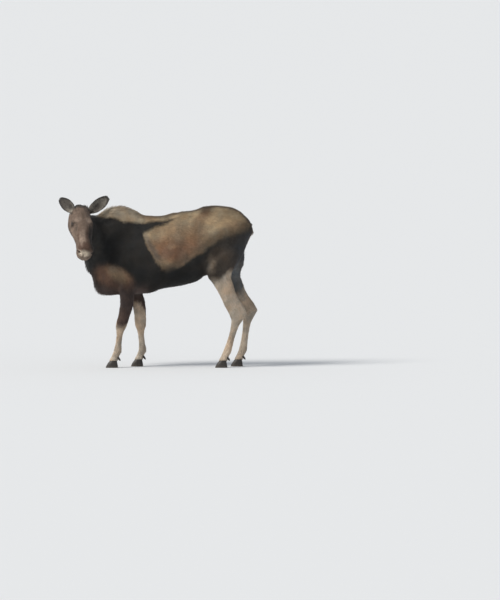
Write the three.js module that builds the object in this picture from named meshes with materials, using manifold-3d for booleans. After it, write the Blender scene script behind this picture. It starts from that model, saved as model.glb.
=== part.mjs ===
// A life-size European moose cow in her winter coat. She stands with her weight on four feet and
// looks round to her left.
//
// Millimetres, +Z up. She faces -X, her left side is -Y, and the floor is Z = 0.
// Every outline here is the outer one, at the tips of the coat.

import * as THREE from 'three';
import { mergeVertices } from 'three/addons/utils/BufferGeometryUtils.js';
import Module from 'manifold-3d';

const wasm = await Module();
wasm.setup();

// ---------------------------------------------------------------- driving dimensions

const GAP = 0.4; // clear space between neighbouring pieces
const FACET = 2; // facets that depart less than this from one plane are merged

const WITHERS = 1777; // height of the hump
const BACK = 1666; // height of the lowest point of the back
const CROUP = 1781; // height of the rump
const BRISKET = 796; // height of the chest's lowest point
const FLANK = 1005; // height of the belly in front of the hind legs
const FETLOCK = 180; // height of the fetlock joints
const CORONET = 78; // height of the hooves' upper rim

const HEAD_LENGTH = 613; // back of the skull to the tip of the nose
const HEAD_PITCH = 46; // degrees that the nose points below the horizon
const HEAD_TURN = 107; // degrees that the face is turned to her left
const HEAD_TILT = 5; // degrees that the poll leans back towards her body
const EYE_RADIUS = 21;
const EAR_LENGTH = 260;
const EAR_HALF_WIDTH = 62;

const COAT = new THREE.MeshStandardMaterial({ color: 0x5d5143, roughness: 0.95, metalness: 0 });
const FACE_HAIR = new THREE.MeshStandardMaterial({ color: 0x7c6556, roughness: 0.9, metalness: 0 });
const LEG_HAIR = new THREE.MeshStandardMaterial({ color: 0x9c8f80, roughness: 0.92, metalness: 0 });
const HORN = new THREE.MeshStandardMaterial({ color: 0x2b2622, roughness: 0.6, metalness: 0 });
const EYE = new THREE.MeshStandardMaterial({ color: 0x140d08, roughness: 0.08, metalness: 0 });

// ---------------------------------------------------------------- curves through named stations

/** Value of a smooth curve through (knots, values) that never overshoots, at the place s. */
function through(knots, values, s) {
  const last = knots.length - 1;
  const slope = (i) => (values[i + 1] - values[i]) / (knots[i + 1] - knots[i]);
  const tangent = (i) => {
    if (i === 0) return slope(0);
    if (i === last) return slope(last - 1);
    const [before, after] = [slope(i - 1), slope(i)];
    return before * after <= 0 ? 0 : (2 * before * after) / (before + after);
  };
  let i = 0;
  while (i < last - 1 && s > knots[i + 1]) i += 1;
  const span = knots[i + 1] - knots[i];
  const t = THREE.MathUtils.clamp((s - knots[i]) / span, 0, 1);
  const [t2, t3] = [t * t, t * t * t];
  return values[i] * (2 * t3 - 3 * t2 + 1) + values[i + 1] * (3 * t2 - 2 * t3)
    + tangent(i) * span * (t3 - 2 * t2 + t) + tangent(i + 1) * span * (t3 - t2);
}

/** Every number of the stations, at count places spread evenly over their knots. */
function between(stations, knots, count) {
  const fields = Object.keys(stations[0]);
  const first = knots[0];
  const length = knots[knots.length - 1] - first;
  return Array.from({ length: count }, (_, k) => {
    const s = first + (length * k) / (count - 1);
    return Object.fromEntries(fields.map(
      (field) => [field, through(knots, stations.map((station) => station[field]), s)]));
  });
}

/** The distance along a plan route at each of its stations. */
function routeKnots(stations, place) {
  let travelled = 0;
  return stations.map((station, i) => {
    if (i) travelled += place(station).distanceTo(place(stations[i - 1]));
    return travelled;
  });
}

// ---------------------------------------------------------------- closed bodies

/** A closed solid from rings of equally many points, wound the same way, with a fan at each end. */
function skinOver(rings) {
  const sides = rings[0].length;
  const positions = [];
  const faces = [];
  const at = (ring, side) => ring * sides + (side % sides);
  rings.flat().forEach((p) => positions.push(p.x, p.y, p.z));
  for (let r = 0; r < rings.length - 1; r += 1) {
    for (let s = 0; s < sides; s += 1) {
      faces.push(at(r, s), at(r, s + 1), at(r + 1, s + 1));
      faces.push(at(r, s), at(r + 1, s + 1), at(r + 1, s));
    }
  }
  [[0, -1], [rings.length - 1, 1]].forEach(([r, way]) => {
    const middle = new THREE.Vector3();
    rings[r].forEach((p) => middle.addScaledVector(p, 1 / sides));
    const hub = positions.length / 3;
    positions.push(middle.x, middle.y, middle.z);
    for (let s = 0; s < sides; s += 1) {
      faces.push(...(way > 0 ? [at(r, s), at(r, s + 1), hub] : [at(r, s + 1), at(r, s), hub]));
    }
  });
  const geometry = new THREE.BufferGeometry();
  geometry.setAttribute('position', new THREE.Float32BufferAttribute(positions, 3));
  geometry.setIndex(faces);
  return solid(geometry);
}

/** A three.js geometry as a manifold solid, turned right side out if its faces point in. */
function solid(geometry) {
  const bare = geometry.clone();
  bare.deleteAttribute('normal');
  bare.deleteAttribute('uv');
  const merged = mergeVertices(bare, 1e-3);
  const build = (triVerts) => new wasm.Manifold(new wasm.Mesh(
    { numProp: 3, vertProperties: merged.attributes.position.array, triVerts }));
  const triVerts = new Uint32Array(merged.index.array);
  const made = build(triVerts);
  return made.volume() > 0 ? made : build(triVerts.reverse());
}

/** Points of an egg-shaped section: its own up and side directions, and an exponent for each half. */
function egg(centre, up, side, shape, count) {
  const { over, under, half, ridge, keel } = shape;
  return Array.from({ length: count }, (_, k) => {
    const angle = (2 * Math.PI * k) / count;
    const [c, s] = [Math.cos(angle), Math.sin(angle)];
    const power = 2 / (s > 0 ? ridge : keel);
    return centre.clone()
      .addScaledVector(side, half * Math.sign(c) * Math.abs(c) ** power)
      .addScaledVector(up, (s > 0 ? over : under) * Math.sign(s) * Math.abs(s) ** power);
  });
}

/** An ellipsoid with its radii along the axes of a frame. */
function ellipsoid(frame, place, radii, turn = [0, 0, 0]) {
  const ball = new THREE.SphereGeometry(1, 12, 8).rotateZ(Math.PI / 2);
  const local = new THREE.Matrix4().compose(
    new THREE.Vector3(...place),
    new THREE.Quaternion().setFromEuler(new THREE.Euler(...turn.map(THREE.MathUtils.degToRad))),
    new THREE.Vector3(...radii));
  return solid(ball.applyMatrix4(new THREE.Matrix4().multiplyMatrices(frame, local)));
}

const UP = new THREE.Vector3(0, 0, 1);

// ---------------------------------------------------------------- trunk and neck

// Sections from the buttocks to the back of the head. x and y are their place in plan, top and
// bottom the outline's heights, wide the height where a section is widest, half its half width.
const BODY_STATIONS = [
  { x: 1018, y: 0, top: 1562, bottom: 1478, wide: 1515, half: 40, ridge: 2, keel: 2 },
  { x: 988, y: 0, top: 1622, bottom: 1395, wide: 1508, half: 102, ridge: 2, keel: 2 },
  { x: 932, y: 0, top: 1680, bottom: 1262, wide: 1480, half: 160, ridge: 1.9, keel: 2 },
  { x: 850, y: 0, top: CROUP - 41, bottom: 1120, wide: 1440, half: 203, ridge: 1.85, keel: 2 },
  { x: 740, y: 0, top: CROUP - 8, bottom: 1062, wide: 1400, half: 230, ridge: 1.8, keel: 2 },
  { x: 610, y: 0, top: CROUP, bottom: 1042, wide: 1370, half: 246, ridge: 1.8, keel: 2.1 },
  { x: 480, y: 0, top: CROUP - 14, bottom: FLANK, wide: 1320, half: 258, ridge: 1.8, keel: 2.2 },
  { x: 375, y: 0, top: 1730, bottom: 946, wide: 1255, half: 270, ridge: 1.9, keel: 2.3 },
  { x: 190, y: 0, top: 1707, bottom: 902, wide: 1210, half: 287, ridge: 2, keel: 2.3 },
  { x: 0, y: 0, top: BACK, bottom: 864, wide: 1180, half: 288, ridge: 1.95, keel: 2.25 },
  { x: -170, y: 0, top: BACK + 7, bottom: 812, wide: 1165, half: 266, ridge: 1.75, keel: 2.15 },
  { x: -310, y: 0, top: WITHERS - 42, bottom: BRISKET + 2, wide: 1150, half: 246, ridge: 1.5, keel: 2.1 },
  { x: -455, y: 0, top: WITHERS, bottom: BRISKET, wide: 1140, half: 232, ridge: 1.35, keel: 2.1 },
  { x: -560, y: 0, top: WITHERS - 28, bottom: BRISKET, wide: 1150, half: 214, ridge: 1.35, keel: 2.1 },
  { x: -640, y: -14, top: 1692, bottom: 815, wide: 1190, half: 184, ridge: 1.45, keel: 2 },
  { x: -692, y: -50, top: 1664, bottom: 925, wide: 1270, half: 152, ridge: 1.55, keel: 1.65 },
  { x: -762, y: -120, top: 1670, bottom: 1158, wide: 1400, half: 140, ridge: 1.7, keel: 1.65 },
  { x: -822, y: -205, top: 1694, bottom: 1278, wide: 1490, half: 134, ridge: 1.8, keel: 1.85 },
  { x: -850, y: -285, top: 1738, bottom: 1415, wide: 1580, half: 120, ridge: 1.9, keel: 2 },
  { x: -864, y: -350, top: 1768, bottom: 1550, wide: 1650, half: 102, ridge: 2, keel: 2 },
  { x: -872, y: -420, top: 1760, bottom: 1620, wide: 1690, half: 70, ridge: 2, keel: 2 },
];
const BODY_RINGS = 46;
const BODY_SIDES = 28;

function bodySolid() {
  const plan = ({ x, y }) => new THREE.Vector3(x, y, 0);
  const stations = between(BODY_STATIONS, routeKnots(BODY_STATIONS, plan), BODY_RINGS);
  const rings = stations.map((station, i) => {
    const ahead = plan(stations[Math.min(i + 1, BODY_RINGS - 1)]);
    const way = ahead.sub(plan(stations[Math.max(i - 1, 0)])).normalize();
    const { x, y, top, bottom, wide, half, ridge, keel } = station;
    const shape = { over: top - wide, under: wide - bottom, half, ridge, keel };
    const side = new THREE.Vector3().crossVectors(UP, way);
    return egg(new THREE.Vector3(x, y, wide), UP, side, shape, BODY_SIDES);
  });
  return skinOver(rings);
}

// ---------------------------------------------------------------- head

// The head's own frame: +X to the nose, +Y to her left, +Z out of the forehead.
const headFrame = (() => {
  const [pitch, turn, tilt] = [HEAD_PITCH, HEAD_TURN, HEAD_TILT].map(THREE.MathUtils.degToRad);
  const nose = new THREE.Vector3(
    -Math.cos(turn) * Math.cos(pitch), -Math.sin(turn) * Math.cos(pitch), -Math.sin(pitch));
  const left = new THREE.Vector3().crossVectors(UP, nose).normalize();
  const forehead = new THREE.Vector3().crossVectors(nose, left);
  return new THREE.Matrix4().makeRotationY(tilt)
    .multiply(new THREE.Matrix4().makeBasis(nose, left, forehead))
    .setPosition(-873, -380, 1725);
})();

// Sections of the skull and muzzle, at the distance u from the back of the skull.
const HEAD_STATIONS = [
  { u: -100, top: 6, bottom: -56, wide: -25, half: 30, ridge: 2, keel: 2 },
  { u: -76, top: 44, bottom: -100, wide: -28, half: 64, ridge: 2, keel: 2 },
  { u: -30, top: 82, bottom: -152, wide: -25, half: 97, ridge: 2.1, keel: 2 },
  { u: 20, top: 103, bottom: -180, wide: -16, half: 114, ridge: 2.2, keel: 2.1 },
  { u: 85, top: 110, bottom: -186, wide: -32, half: 125, ridge: 2.3, keel: 2.2 },
  { u: 150, top: 107, bottom: -180, wide: -48, half: 129, ridge: 2.4, keel: 2.3 },
  { u: 205, top: 100, bottom: -162, wide: -42, half: 127, ridge: 2.4, keel: 2.3 },
  { u: 262, top: 90, bottom: -136, wide: -28, half: 114, ridge: 2.3, keel: 2.2 },
  { u: 330, top: 81, bottom: -116, wide: -22, half: 99, ridge: 2.2, keel: 2.2 },
  { u: 390, top: 78, bottom: -106, wide: -22, half: 91, ridge: 2.2, keel: 2.3 },
  { u: 445, top: 78, bottom: -106, wide: -26, half: 88, ridge: 2.2, keel: 2.4 },
  { u: 500, top: 73, bottom: -120, wide: -34, half: 90, ridge: 2.2, keel: 2.4 },
  { u: 545, top: 58, bottom: -136, wide: -46, half: 91, ridge: 2.2, keel: 2.4 },
  { u: 578, top: 32, bottom: -143, wide: -58, half: 80, ridge: 2.1, keel: 2.3 },
  { u: 600, top: 0, bottom: -134, wide: -68, half: 60, ridge: 2.05, keel: 2.1 },
  { u: HEAD_LENGTH, top: -36, bottom: -112, wide: -74, half: 32, ridge: 2, keel: 2 },
];
// Sections of the lower jaw, from its angle to the chin.
const JAW_STATIONS = [
  { u: 84, top: -110, bottom: -190, wide: -150, half: 70, ridge: 2, keel: 2 },
  { u: 135, top: -60, bottom: -208, wide: -135, half: 88, ridge: 2, keel: 2.1 },
  { u: 210, top: -60, bottom: -198, wide: -124, half: 84, ridge: 2, keel: 2.1 },
  { u: 300, top: -60, bottom: -170, wide: -112, half: 69, ridge: 2, keel: 2 },
  { u: 390, top: -60, bottom: -150, wide: -106, half: 56, ridge: 2, keel: 2.2 },
  { u: 460, top: -66, bottom: -152, wide: -112, half: 52, ridge: 2, keel: 2.2 },
  { u: 515, top: -90, bottom: -163, wide: -128, half: 45, ridge: 2, keel: 2.1 },
  { u: 543, top: -112, bottom: -158, wide: -136, half: 26, ridge: 2, keel: 2 },
];

function headLoft(stations, count, sides) {
  const rings = between(stations, stations.map(({ u }) => u), count).map((station) => {
    const { u, top, bottom, wide, half, ridge, keel } = station;
    const shape = { over: top - wide, under: wide - bottom, half, ridge, keel };
    const side = new THREE.Vector3(0, -1, 0);
    return egg(new THREE.Vector3(u, 0, wide), UP, side, shape, sides)
      .map((p) => p.applyMatrix4(headFrame));
  });
  return skinOver(rings);
}

const EYE_PLACE = { u: 206, out: 103, up: 34 };
const BROW = { u: 186, out: 67, up: 52, radii: [78, 46, 44] };
const NOSTRIL_WING = { u: 528, out: 46, up: 0, radii: [66, 50, 46] };
const NOSTRIL = { u: 556, out: 92, up: -14, radii: [26, 16, 10], turn: [0, 35, 0] };

const eyeBall = (way, radius) => ellipsoid(
  headFrame, [EYE_PLACE.u, way * EYE_PLACE.out, EYE_PLACE.up], [radius, radius, radius]);

function headSolid() {
  let head = headLoft(HEAD_STATIONS, 22, 18).add(headLoft(JAW_STATIONS, 9, 10));
  [1, -1].forEach((way) => {
    head = head
      .add(ellipsoid(headFrame, [BROW.u, way * BROW.out, BROW.up], BROW.radii))
      .add(ellipsoid(headFrame, [NOSTRIL_WING.u, way * NOSTRIL_WING.out, NOSTRIL_WING.up],
        NOSTRIL_WING.radii))
      .subtract(ellipsoid(headFrame, [NOSTRIL.u, way * NOSTRIL.out, NOSTRIL.up],
        NOSTRIL.radii, NOSTRIL.turn));
  });
  return head.simplify(FACET / 2);
}

// ---------------------------------------------------------------- ears

const EAR_ROOT = { u: 40, out: 94, up: 62 };
const EAR_STUB = 0.13; // share of an ear that belongs to the head
const EAR_SUNK = -0.14; // and how far it reaches into the skull
const EARS = {
  left: { way: 1, reach: [0.8, 0.1, 0.6], opens: [0.15, -0.95, 0.25] },
  right: { way: -1, reach: [-0.56, 0.69, 0.44], opens: [-0.5, -0.85, 0.2] },
};

/** A cupped leaf: a C-shaped section that is closest to a tube at the root and flat at the tip. */
function earSolid({ way, reach, opens }, grown = 0) {
  const root = new THREE.Vector3(EAR_ROOT.u, way * EAR_ROOT.out, EAR_ROOT.up)
    .applyMatrix4(headFrame);
  const axis = new THREE.Vector3(...reach).normalize();
  const open = new THREE.Vector3(...opens);
  open.addScaledVector(axis, -open.dot(axis)).normalize();
  const across = new THREE.Vector3().crossVectors(axis, open);
  const steps = 10;
  const arc = 6;
  const rings = [];
  for (let i = 0; i <= steps; i += 1) {
    const t = THREE.MathUtils.lerp(EAR_SUNK, 1, i / steps);
    const width = EAR_HALF_WIDTH
      * through([EAR_SUNK, 0, 0.2, 0.5, 0.8, 0.95, 1], [0.4, 0.54, 0.78, 1, 0.68, 0.32, 0.1], t);
    const depth = through([EAR_SUNK, 0, 0.3, 0.7, 1], [36, 46, 42, 22, 5], t);
    const wall = through([EAR_SUNK, 0, 0.2, 1], [30, 28, 9, 4], t);
    const centre = root.clone().addScaledVector(axis, t * EAR_LENGTH)
      .addScaledVector(open, -14 * Math.sin(Math.PI * Math.max(t, 0)));
    const sheet = (inset, from, to) => Array.from({ length: arc }, (_, k) => {
      const angle = THREE.MathUtils.lerp(from, to, k / (arc - 1));
      return centre.clone()
        .addScaledVector(across, (width - inset * 0.5) * Math.sin(angle))
        .addScaledVector(open, -(depth - inset) * Math.cos(angle));
    });
    const edge = 1.5; // radians from the middle of the back to each rim
    rings.push([...sheet(-grown, -edge, edge), ...sheet(wall + grown, edge * 0.97, -edge * 0.97)]);
  }
  const ear = skinOver(rings);
  const offset = axis.dot(root) + EAR_STUB * EAR_LENGTH;
  return {
    ear: ear.trimByPlane(axis.toArray(), offset + GAP / 2 - grown),
    stub: ear.trimByPlane(axis.clone().negate().toArray(), -offset + GAP / 2),
  };
}

// ---------------------------------------------------------------- legs

// Each leg is a chain of joints, and all four feet stand on the same level. y is the joint's
// distance from the middle plane.
const FORELEG = {
  left: [[-515, 1165, 150], [-345, 905, 158], [-415, 475, 140], [-455, FETLOCK, 136], [-497, CORONET, 134]],
  right: [[-495, 1165, 150], [-290, 905, 158], [-208, 475, 138], [-182, FETLOCK, 132], [-222, CORONET, 130]],
};
const HINDLEG = {
  left: [[790, 1450, 130], [600, 1070, 158], [866, 560, 128], [752, FETLOCK, 126], [706, CORONET, 126]],
  right: [[800, 1450, 130], [700, 1065, 158], [984, 590, 128], [922, FETLOCK, 126], [876, CORONET, 126]],
};
// How far the leg reaches in front of the line of its joints, behind it, and to each side. at
// counts joints: 1.5 is half way from the second joint to the third.
const FORELEG_SHAPE = [
  { at: 0, front: 60, back: 110, half: 40 },
  { at: 0.5, front: 84, back: 118, half: 64 },
  { at: 1, front: 104, back: 98, half: 70 },
  { at: 1.25, front: 71, back: 98, half: 61 },
  { at: 1.5, front: 49, back: 102, half: 56 },
  { at: 1.75, front: 48, back: 86, half: 51 },
  { at: 1.92, front: 58, back: 76, half: 52 },
  { at: 2.06, front: 60, back: 66, half: 50 },
  { at: 2.22, front: 47, back: 47, half: 40 },
  { at: 2.4, front: 37, back: 35, half: 34 },
  { at: 2.7, front: 36, back: 35, half: 33 },
  { at: 2.9, front: 41, back: 44, half: 39 },
  { at: 3.05, front: 45, back: 47, half: 42 },
  { at: 3.5, front: 43, back: 40, half: 39 },
  { at: 4, front: 51, back: 47, half: 47 },
];
const HINDLEG_SHAPE = [
  { at: 0, front: 110, back: 90, half: 40 },
  { at: 0.4, front: 150, back: 185, half: 88 },
  { at: 0.75, front: 134, back: 216, half: 96 },
  { at: 1, front: 100, back: 205, half: 88 },
  { at: 1.14, front: 104, back: 160, half: 78 },
  { at: 1.3, front: 84, back: 140, half: 68 },
  { at: 1.5, front: 75, back: 117, half: 58 },
  { at: 1.68, front: 80, back: 114, half: 50 },
  { at: 1.8, front: 86, back: 138, half: 47 },
  { at: 1.87, front: 84, back: 142, half: 48 },
  { at: 1.97, front: 78, back: 104, half: 50 },
  { at: 2.12, front: 60, back: 66, half: 45 },
  { at: 2.3, front: 44, back: 44, half: 37 },
  { at: 2.6, front: 37, back: 39, half: 34 },
  { at: 2.9, front: 43, back: 46, half: 40 },
  { at: 3.05, front: 47, back: 49, half: 43 },
  { at: 3.5, front: 44, back: 42, half: 40 },
  { at: 4, front: 52, back: 48, half: 47 },
];
const LEG_RINGS = 26;
const LEG_SIDES = 12;
const ELBOW_CUT = 790; // the forelegs' pieces start here, just under the chest
const STIFLE_CUT = 1000; // and the hind legs' here, just under the flank
const KNEE_CUT = 415;
const HOCK_CUT = 470;

function legSolid(joints, shape, way) {
  const backwards = new THREE.Vector3(1, 0, 0);
  const stations = between(shape, shape.map(({ at }) => at), LEG_RINGS);
  const rings = stations.map(({ at, front, back, half }) => {
    const above = Math.min(Math.floor(at), joints.length - 2);
    const [x, z, y] = [0, 1, 2].map(
      (axis) => THREE.MathUtils.lerp(joints[above][axis], joints[above + 1][axis], at - above));
    const section = { over: back, under: front, half, ridge: 2, keel: 2.2 };
    const middle = new THREE.Vector3(x, way * y, z);
    return egg(middle, backwards, new THREE.Vector3(0, 1, 0), section, LEG_SIDES);
  });
  return skinOver(rings).simplify(FACET);
}

/** The pieces of a leg: the stub that belongs to the trunk, the upper leg and the lower leg. */
function legPieces(joints, shape, way, topCut, midCut) {
  const leg = legSolid(joints, shape, way);
  const slice = (high, low) => leg.trimByPlane([0, 0, 1], low + GAP / 2)
    .trimByPlane([0, 0, -1], -high + GAP / 2);
  return {
    stub: leg.trimByPlane([0, 0, 1], topCut + GAP / 2),
    upper: slice(topCut, midCut),
    lower: slice(midCut, CORONET),
  };
}

// ---------------------------------------------------------------- hooves

const CLAW = { length: 134, half: 22, behind: 46, apart: 25, sides: 12 };
const DEWCLAW = { length: 46, radius: 15, height: 112, behind: 46, apart: 21, sides: 6 };

/** One half of a cloven hoof: a sole pointed at the toe, drawn in towards the coronet. */
function clawSolid(foot, way) {
  const middle = foot.x + CLAW.behind - CLAW.length / 2;
  const outline = (z, scale, back) => Array.from({ length: CLAW.sides }, (_, k) => {
    const angle = (2 * Math.PI * k) / CLAW.sides;
    const toeward = Math.cos(angle); // 1 at the toe, -1 at the heel
    const width = 0.35 + 0.75 * Math.sqrt(Math.min((1 - toeward) / 1.25, 1));
    return new THREE.Vector3(
      middle + back - (scale * toeward * CLAW.length) / 2,
      foot.y + way * CLAW.apart + CLAW.half * Math.sin(angle) * width * (0.75 + 0.25 * scale), z);
  });
  const top = CORONET - GAP;
  return skinOver([
    outline(0, 1, 0), outline(8, 1.01, 0), outline(top / 2, 0.86, 1), outline(top, 0.68, 4)]);
}

/** A short blunt cone behind the fetlock that points down and back. */
function dewclawSolid(foot, way, grown = 0) {
  const start = new THREE.Vector3(
    foot.x + DEWCLAW.behind, foot.y + way * DEWCLAW.apart, DEWCLAW.height);
  const along = new THREE.Vector3(0.62, way * 0.12, -0.78).normalize();
  const side = new THREE.Vector3().crossVectors(along, new THREE.Vector3(0, 1, 0)).normalize();
  const other = new THREE.Vector3().crossVectors(along, side);
  const rings = [[-0.3, 0.8], [0.2, 1], [0.7, 0.8], [1, 0.3]].map(([t, r], i) => {
    const round = DEWCLAW.radius * r + grown;
    const shape = { over: round, under: round, half: round * 0.85, ridge: 2, keel: 2 };
    const reach = t * DEWCLAW.length + (i ? grown : -grown);
    return egg(start.clone().addScaledVector(along, reach), side, other, shape, DEWCLAW.sides);
  });
  return skinOver(rings);
}

// ---------------------------------------------------------------- tail

const TAIL = { x: 968, z: 1585, length: 118, half: 33, deep: 22, root: 0.28 };

function tailSolid(grown = 0) {
  const start = new THREE.Vector3(TAIL.x, 0, TAIL.z);
  const along = new THREE.Vector3(0.56, 0, -0.83).normalize();
  const side = new THREE.Vector3(0, 1, 0);
  const back = new THREE.Vector3().crossVectors(side, along).negate();
  const rings = [[-0.1, 0.9], [0.2, 1], [0.6, 0.85], [0.88, 0.5], [1, 0.15]].map(([t, r]) => {
    const [deep, half] = [TAIL.deep * r + grown, TAIL.half * r + grown];
    const shape = { over: deep, under: deep, half, ridge: 2, keel: 2 };
    return egg(start.clone().addScaledVector(along, t * TAIL.length), back, side, shape, 10);
  });
  const tail = skinOver(rings);
  const offset = along.dot(start) + TAIL.root * TAIL.length;
  return {
    tail: tail.trimByPlane(along.toArray(), offset + GAP / 2 - grown),
    stub: tail.trimByPlane(along.clone().negate().toArray(), -offset + GAP / 2),
  };
}

// ---------------------------------------------------------------- assembly

const moose = new THREE.Group();
const body = new THREE.Group(); // moved at the end, to put the origin on the floor under its middle
moose.add(body);

function piece(name, made, material) {
  const { vertProperties, triVerts } = made.getMesh();
  const geometry = new THREE.BufferGeometry();
  geometry.setAttribute('position', new THREE.BufferAttribute(vertProperties, 3));
  geometry.setIndex(new THREE.BufferAttribute(triVerts, 1));
  geometry.computeVertexNormals();
  const mesh = new THREE.Mesh(geometry, material.clone());
  mesh.name = name;
  body.add(mesh);
}

/** The parts of a solid ahead of and behind an upright cut across her, a gap apart. */
function parted(made, { x, z, lean }) {
  const normal = new THREE.Vector3(Math.cos(lean), 0, Math.sin(lean));
  const offset = normal.dot(new THREE.Vector3(x, 0, z));
  return {
    ahead: made.trimByPlane(normal.clone().negate().toArray(), -offset + GAP / 2),
    behind: made.trimByPlane(normal.toArray(), offset + GAP / 2),
  };
}

/** A block that holds the head and nothing else, drawn back from the cut by inset. */
function headBlock(inset) {
  const { centre, size, below, lean } = HEAD_BLOCK;
  const block = new THREE.BoxGeometry(...size);
  block.translate(0, -size[1] / 2 - inset, size[2] / 2 - below + inset);
  block.rotateX(lean);
  block.translate(...centre);
  return solid(block);
}

const HEAD_BLOCK = {
  centre: [-866, -300, 1500], size: [700, 900, 1000], below: 215, lean: THREE.MathUtils.degToRad(15),
};
const NECK_CUT = { x: -640, z: 1350, lean: THREE.MathUtils.degToRad(7) };
const SHOULDER_CUT = { x: -190, z: 0, lean: 0 };
const FLANK_CUT = { x: 425, z: 0, lean: 0 };
const SIDES = { left: -1, right: 1 };

const ears = Object.fromEntries(Object.entries(EARS).map(([side, ear]) => [side, earSolid(ear)]));
const tail = tailSolid();
const legs = {};
Object.entries(SIDES).forEach(([side, way]) => {
  legs[`foreleg_${side}`] = {
    joints: FORELEG[side], way, ...legPieces(FORELEG[side], FORELEG_SHAPE, way, ELBOW_CUT, KNEE_CUT),
  };
  legs[`hindleg_${side}`] = {
    joints: HINDLEG[side], way, ...legPieces(HINDLEG[side], HINDLEG_SHAPE, way, STIFLE_CUT, HOCK_CUT),
  };
});

// All the flesh above the legs' cuts is made as one body, with room for the ears, tail and eyes.
let whole = bodySolid();
Object.values(legs).forEach(({ stub }) => { whole = whole.add(stub); });
whole = whole.simplify(FACET).add(headSolid()).add(tail.stub);
Object.entries(ears).forEach(([side, { stub }]) => {
  whole = whole.add(stub).subtract(earSolid(EARS[side], GAP).ear);
});
whole = whole.subtract(tailSolid(GAP).tail);
[1, -1].forEach((way) => { whole = whole.subtract(eyeBall(way, EYE_RADIUS + GAP)); });

// Then it is cut into the pieces that a person would name.
piece('head', whole.intersect(headBlock(GAP / 2)), FACE_HAIR);
const neck = parted(whole.subtract(headBlock(-GAP / 2)), NECK_CUT);
const shoulders = parted(neck.behind, SHOULDER_CUT);
const barrel = parted(shoulders.behind, FLANK_CUT);
piece('neck', neck.ahead, COAT);
piece('shoulders', shoulders.ahead, COAT);
piece('barrel', barrel.ahead, COAT);
piece('hindquarters', barrel.behind, COAT);
piece('tail', tail.tail, COAT);

Object.entries(ears).forEach(([side, { ear }]) => piece(`ear_${side}`, ear, FACE_HAIR));
Object.entries({ left: 1, right: -1 }).forEach(
  ([side, way]) => piece(`eye_${side}`, eyeBall(way, EYE_RADIUS), EYE));

Object.entries(legs).forEach(([name, { joints, way, upper, lower }]) => {
  piece(`${name}_upper`, upper, name.startsWith('fore') ? COAT : LEG_HAIR);
  const [x, , y] = joints[joints.length - 1];
  const foot = { x, y: way * y };
  let shank = lower;
  Object.entries({ inner: -way, outer: way }).forEach(([side, toe]) => {
    piece(`${name}_hoof_${side}`, clawSolid(foot, toe), HORN);
    piece(`${name}_dewclaw_${side}`, dewclawSolid(foot, toe), HORN);
    shank = shank.subtract(dewclawSolid(foot, toe, GAP));
  });
  piece(`${name}_lower`, shank, LEG_HAIR);
});

const box = new THREE.Box3().setFromObject(body);
const middle = box.getCenter(new THREE.Vector3());
body.position.set(-middle.x, -middle.y, -box.min.z);

export default moose;
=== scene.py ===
# %% [markdown]
# # A cow moose, life size
# The CAD solids come in as a fixed frame: trunk, neck, head, ears, legs, hooves and eyes, in
# metres, with her nose to -X and her left side to -Y. They are already her full outline, out to
# the tips of the hair. What is left to do here is what a museum's taxidermist does: one hide
# drawn over the flesh, glass eyes under real lids, horn on the feet, and the winter coat.

# %% Load the frame
import contextlib
import math

import bmesh
import bpy
import numpy as np
from mathutils import Matrix, Vector
from mathutils.bvhtree import BVHTree


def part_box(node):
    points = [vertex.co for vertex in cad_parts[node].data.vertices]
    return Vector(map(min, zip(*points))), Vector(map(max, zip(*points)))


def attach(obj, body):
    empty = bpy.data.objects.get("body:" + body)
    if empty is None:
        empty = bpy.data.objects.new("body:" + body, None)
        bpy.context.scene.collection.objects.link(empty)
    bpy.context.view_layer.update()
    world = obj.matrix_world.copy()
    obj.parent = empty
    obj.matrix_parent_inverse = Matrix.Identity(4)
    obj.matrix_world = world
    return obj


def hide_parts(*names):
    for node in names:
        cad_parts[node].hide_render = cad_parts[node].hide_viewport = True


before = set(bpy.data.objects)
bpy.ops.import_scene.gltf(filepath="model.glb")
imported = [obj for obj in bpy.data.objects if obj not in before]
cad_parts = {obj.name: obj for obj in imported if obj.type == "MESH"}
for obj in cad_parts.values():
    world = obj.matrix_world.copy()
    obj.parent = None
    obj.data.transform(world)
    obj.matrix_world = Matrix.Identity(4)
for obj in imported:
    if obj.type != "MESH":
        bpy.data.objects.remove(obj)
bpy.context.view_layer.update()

# %% Names, sizes and helpers that every step shares
MM = 0.001
FLESH = [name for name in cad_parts
         if not name.startswith(("eye", "ear")) and "hoof" not in name and "dewclaw" not in name]
SIDES = {"left": 1, "right": -1}      # her own sides: +1 is the head frame's +Y
rng = np.random.default_rng(7)


def linked(name, data):
    """A new object at the origin that holds this mesh, lamp or camera."""
    piece = bpy.data.objects.new(name, data)
    bpy.context.scene.collection.objects.link(piece)
    return piece


def modelled(name, bm, smooth=True):
    """The finished bmesh as a new piece."""
    if smooth:
        for face in bm.faces:
            face.smooth = True
    mesh = bpy.data.meshes.new(name)
    bm.to_mesh(mesh)
    bm.free()
    return linked(name, mesh)


@contextlib.contextmanager
def opened(mesh):
    """The mesh as a bmesh, written back at the end of the block."""
    bm = bmesh.new()
    bm.from_mesh(mesh)
    bm.verts.ensure_lookup_table()
    yield bm
    bm.to_mesh(mesh)
    bm.free()


def ramp(value, low, high):
    """0 below low, 1 above high, and a smooth step between. low may be the larger one."""
    t = np.clip((value - low) / (high - low), 0, 1)
    return t * t * (3 - 2 * t)


def toward(values, other, share):
    """values where share is 0, other where it is 1, and a blend between."""
    share = share[:, None] if np.ndim(values) > 1 else share
    return values * (1 - share) + np.asarray(other) * share


def unit(vectors):
    return vectors / np.maximum(np.linalg.norm(vectors, axis=-1, keepdims=True), 1e-9)


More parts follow.
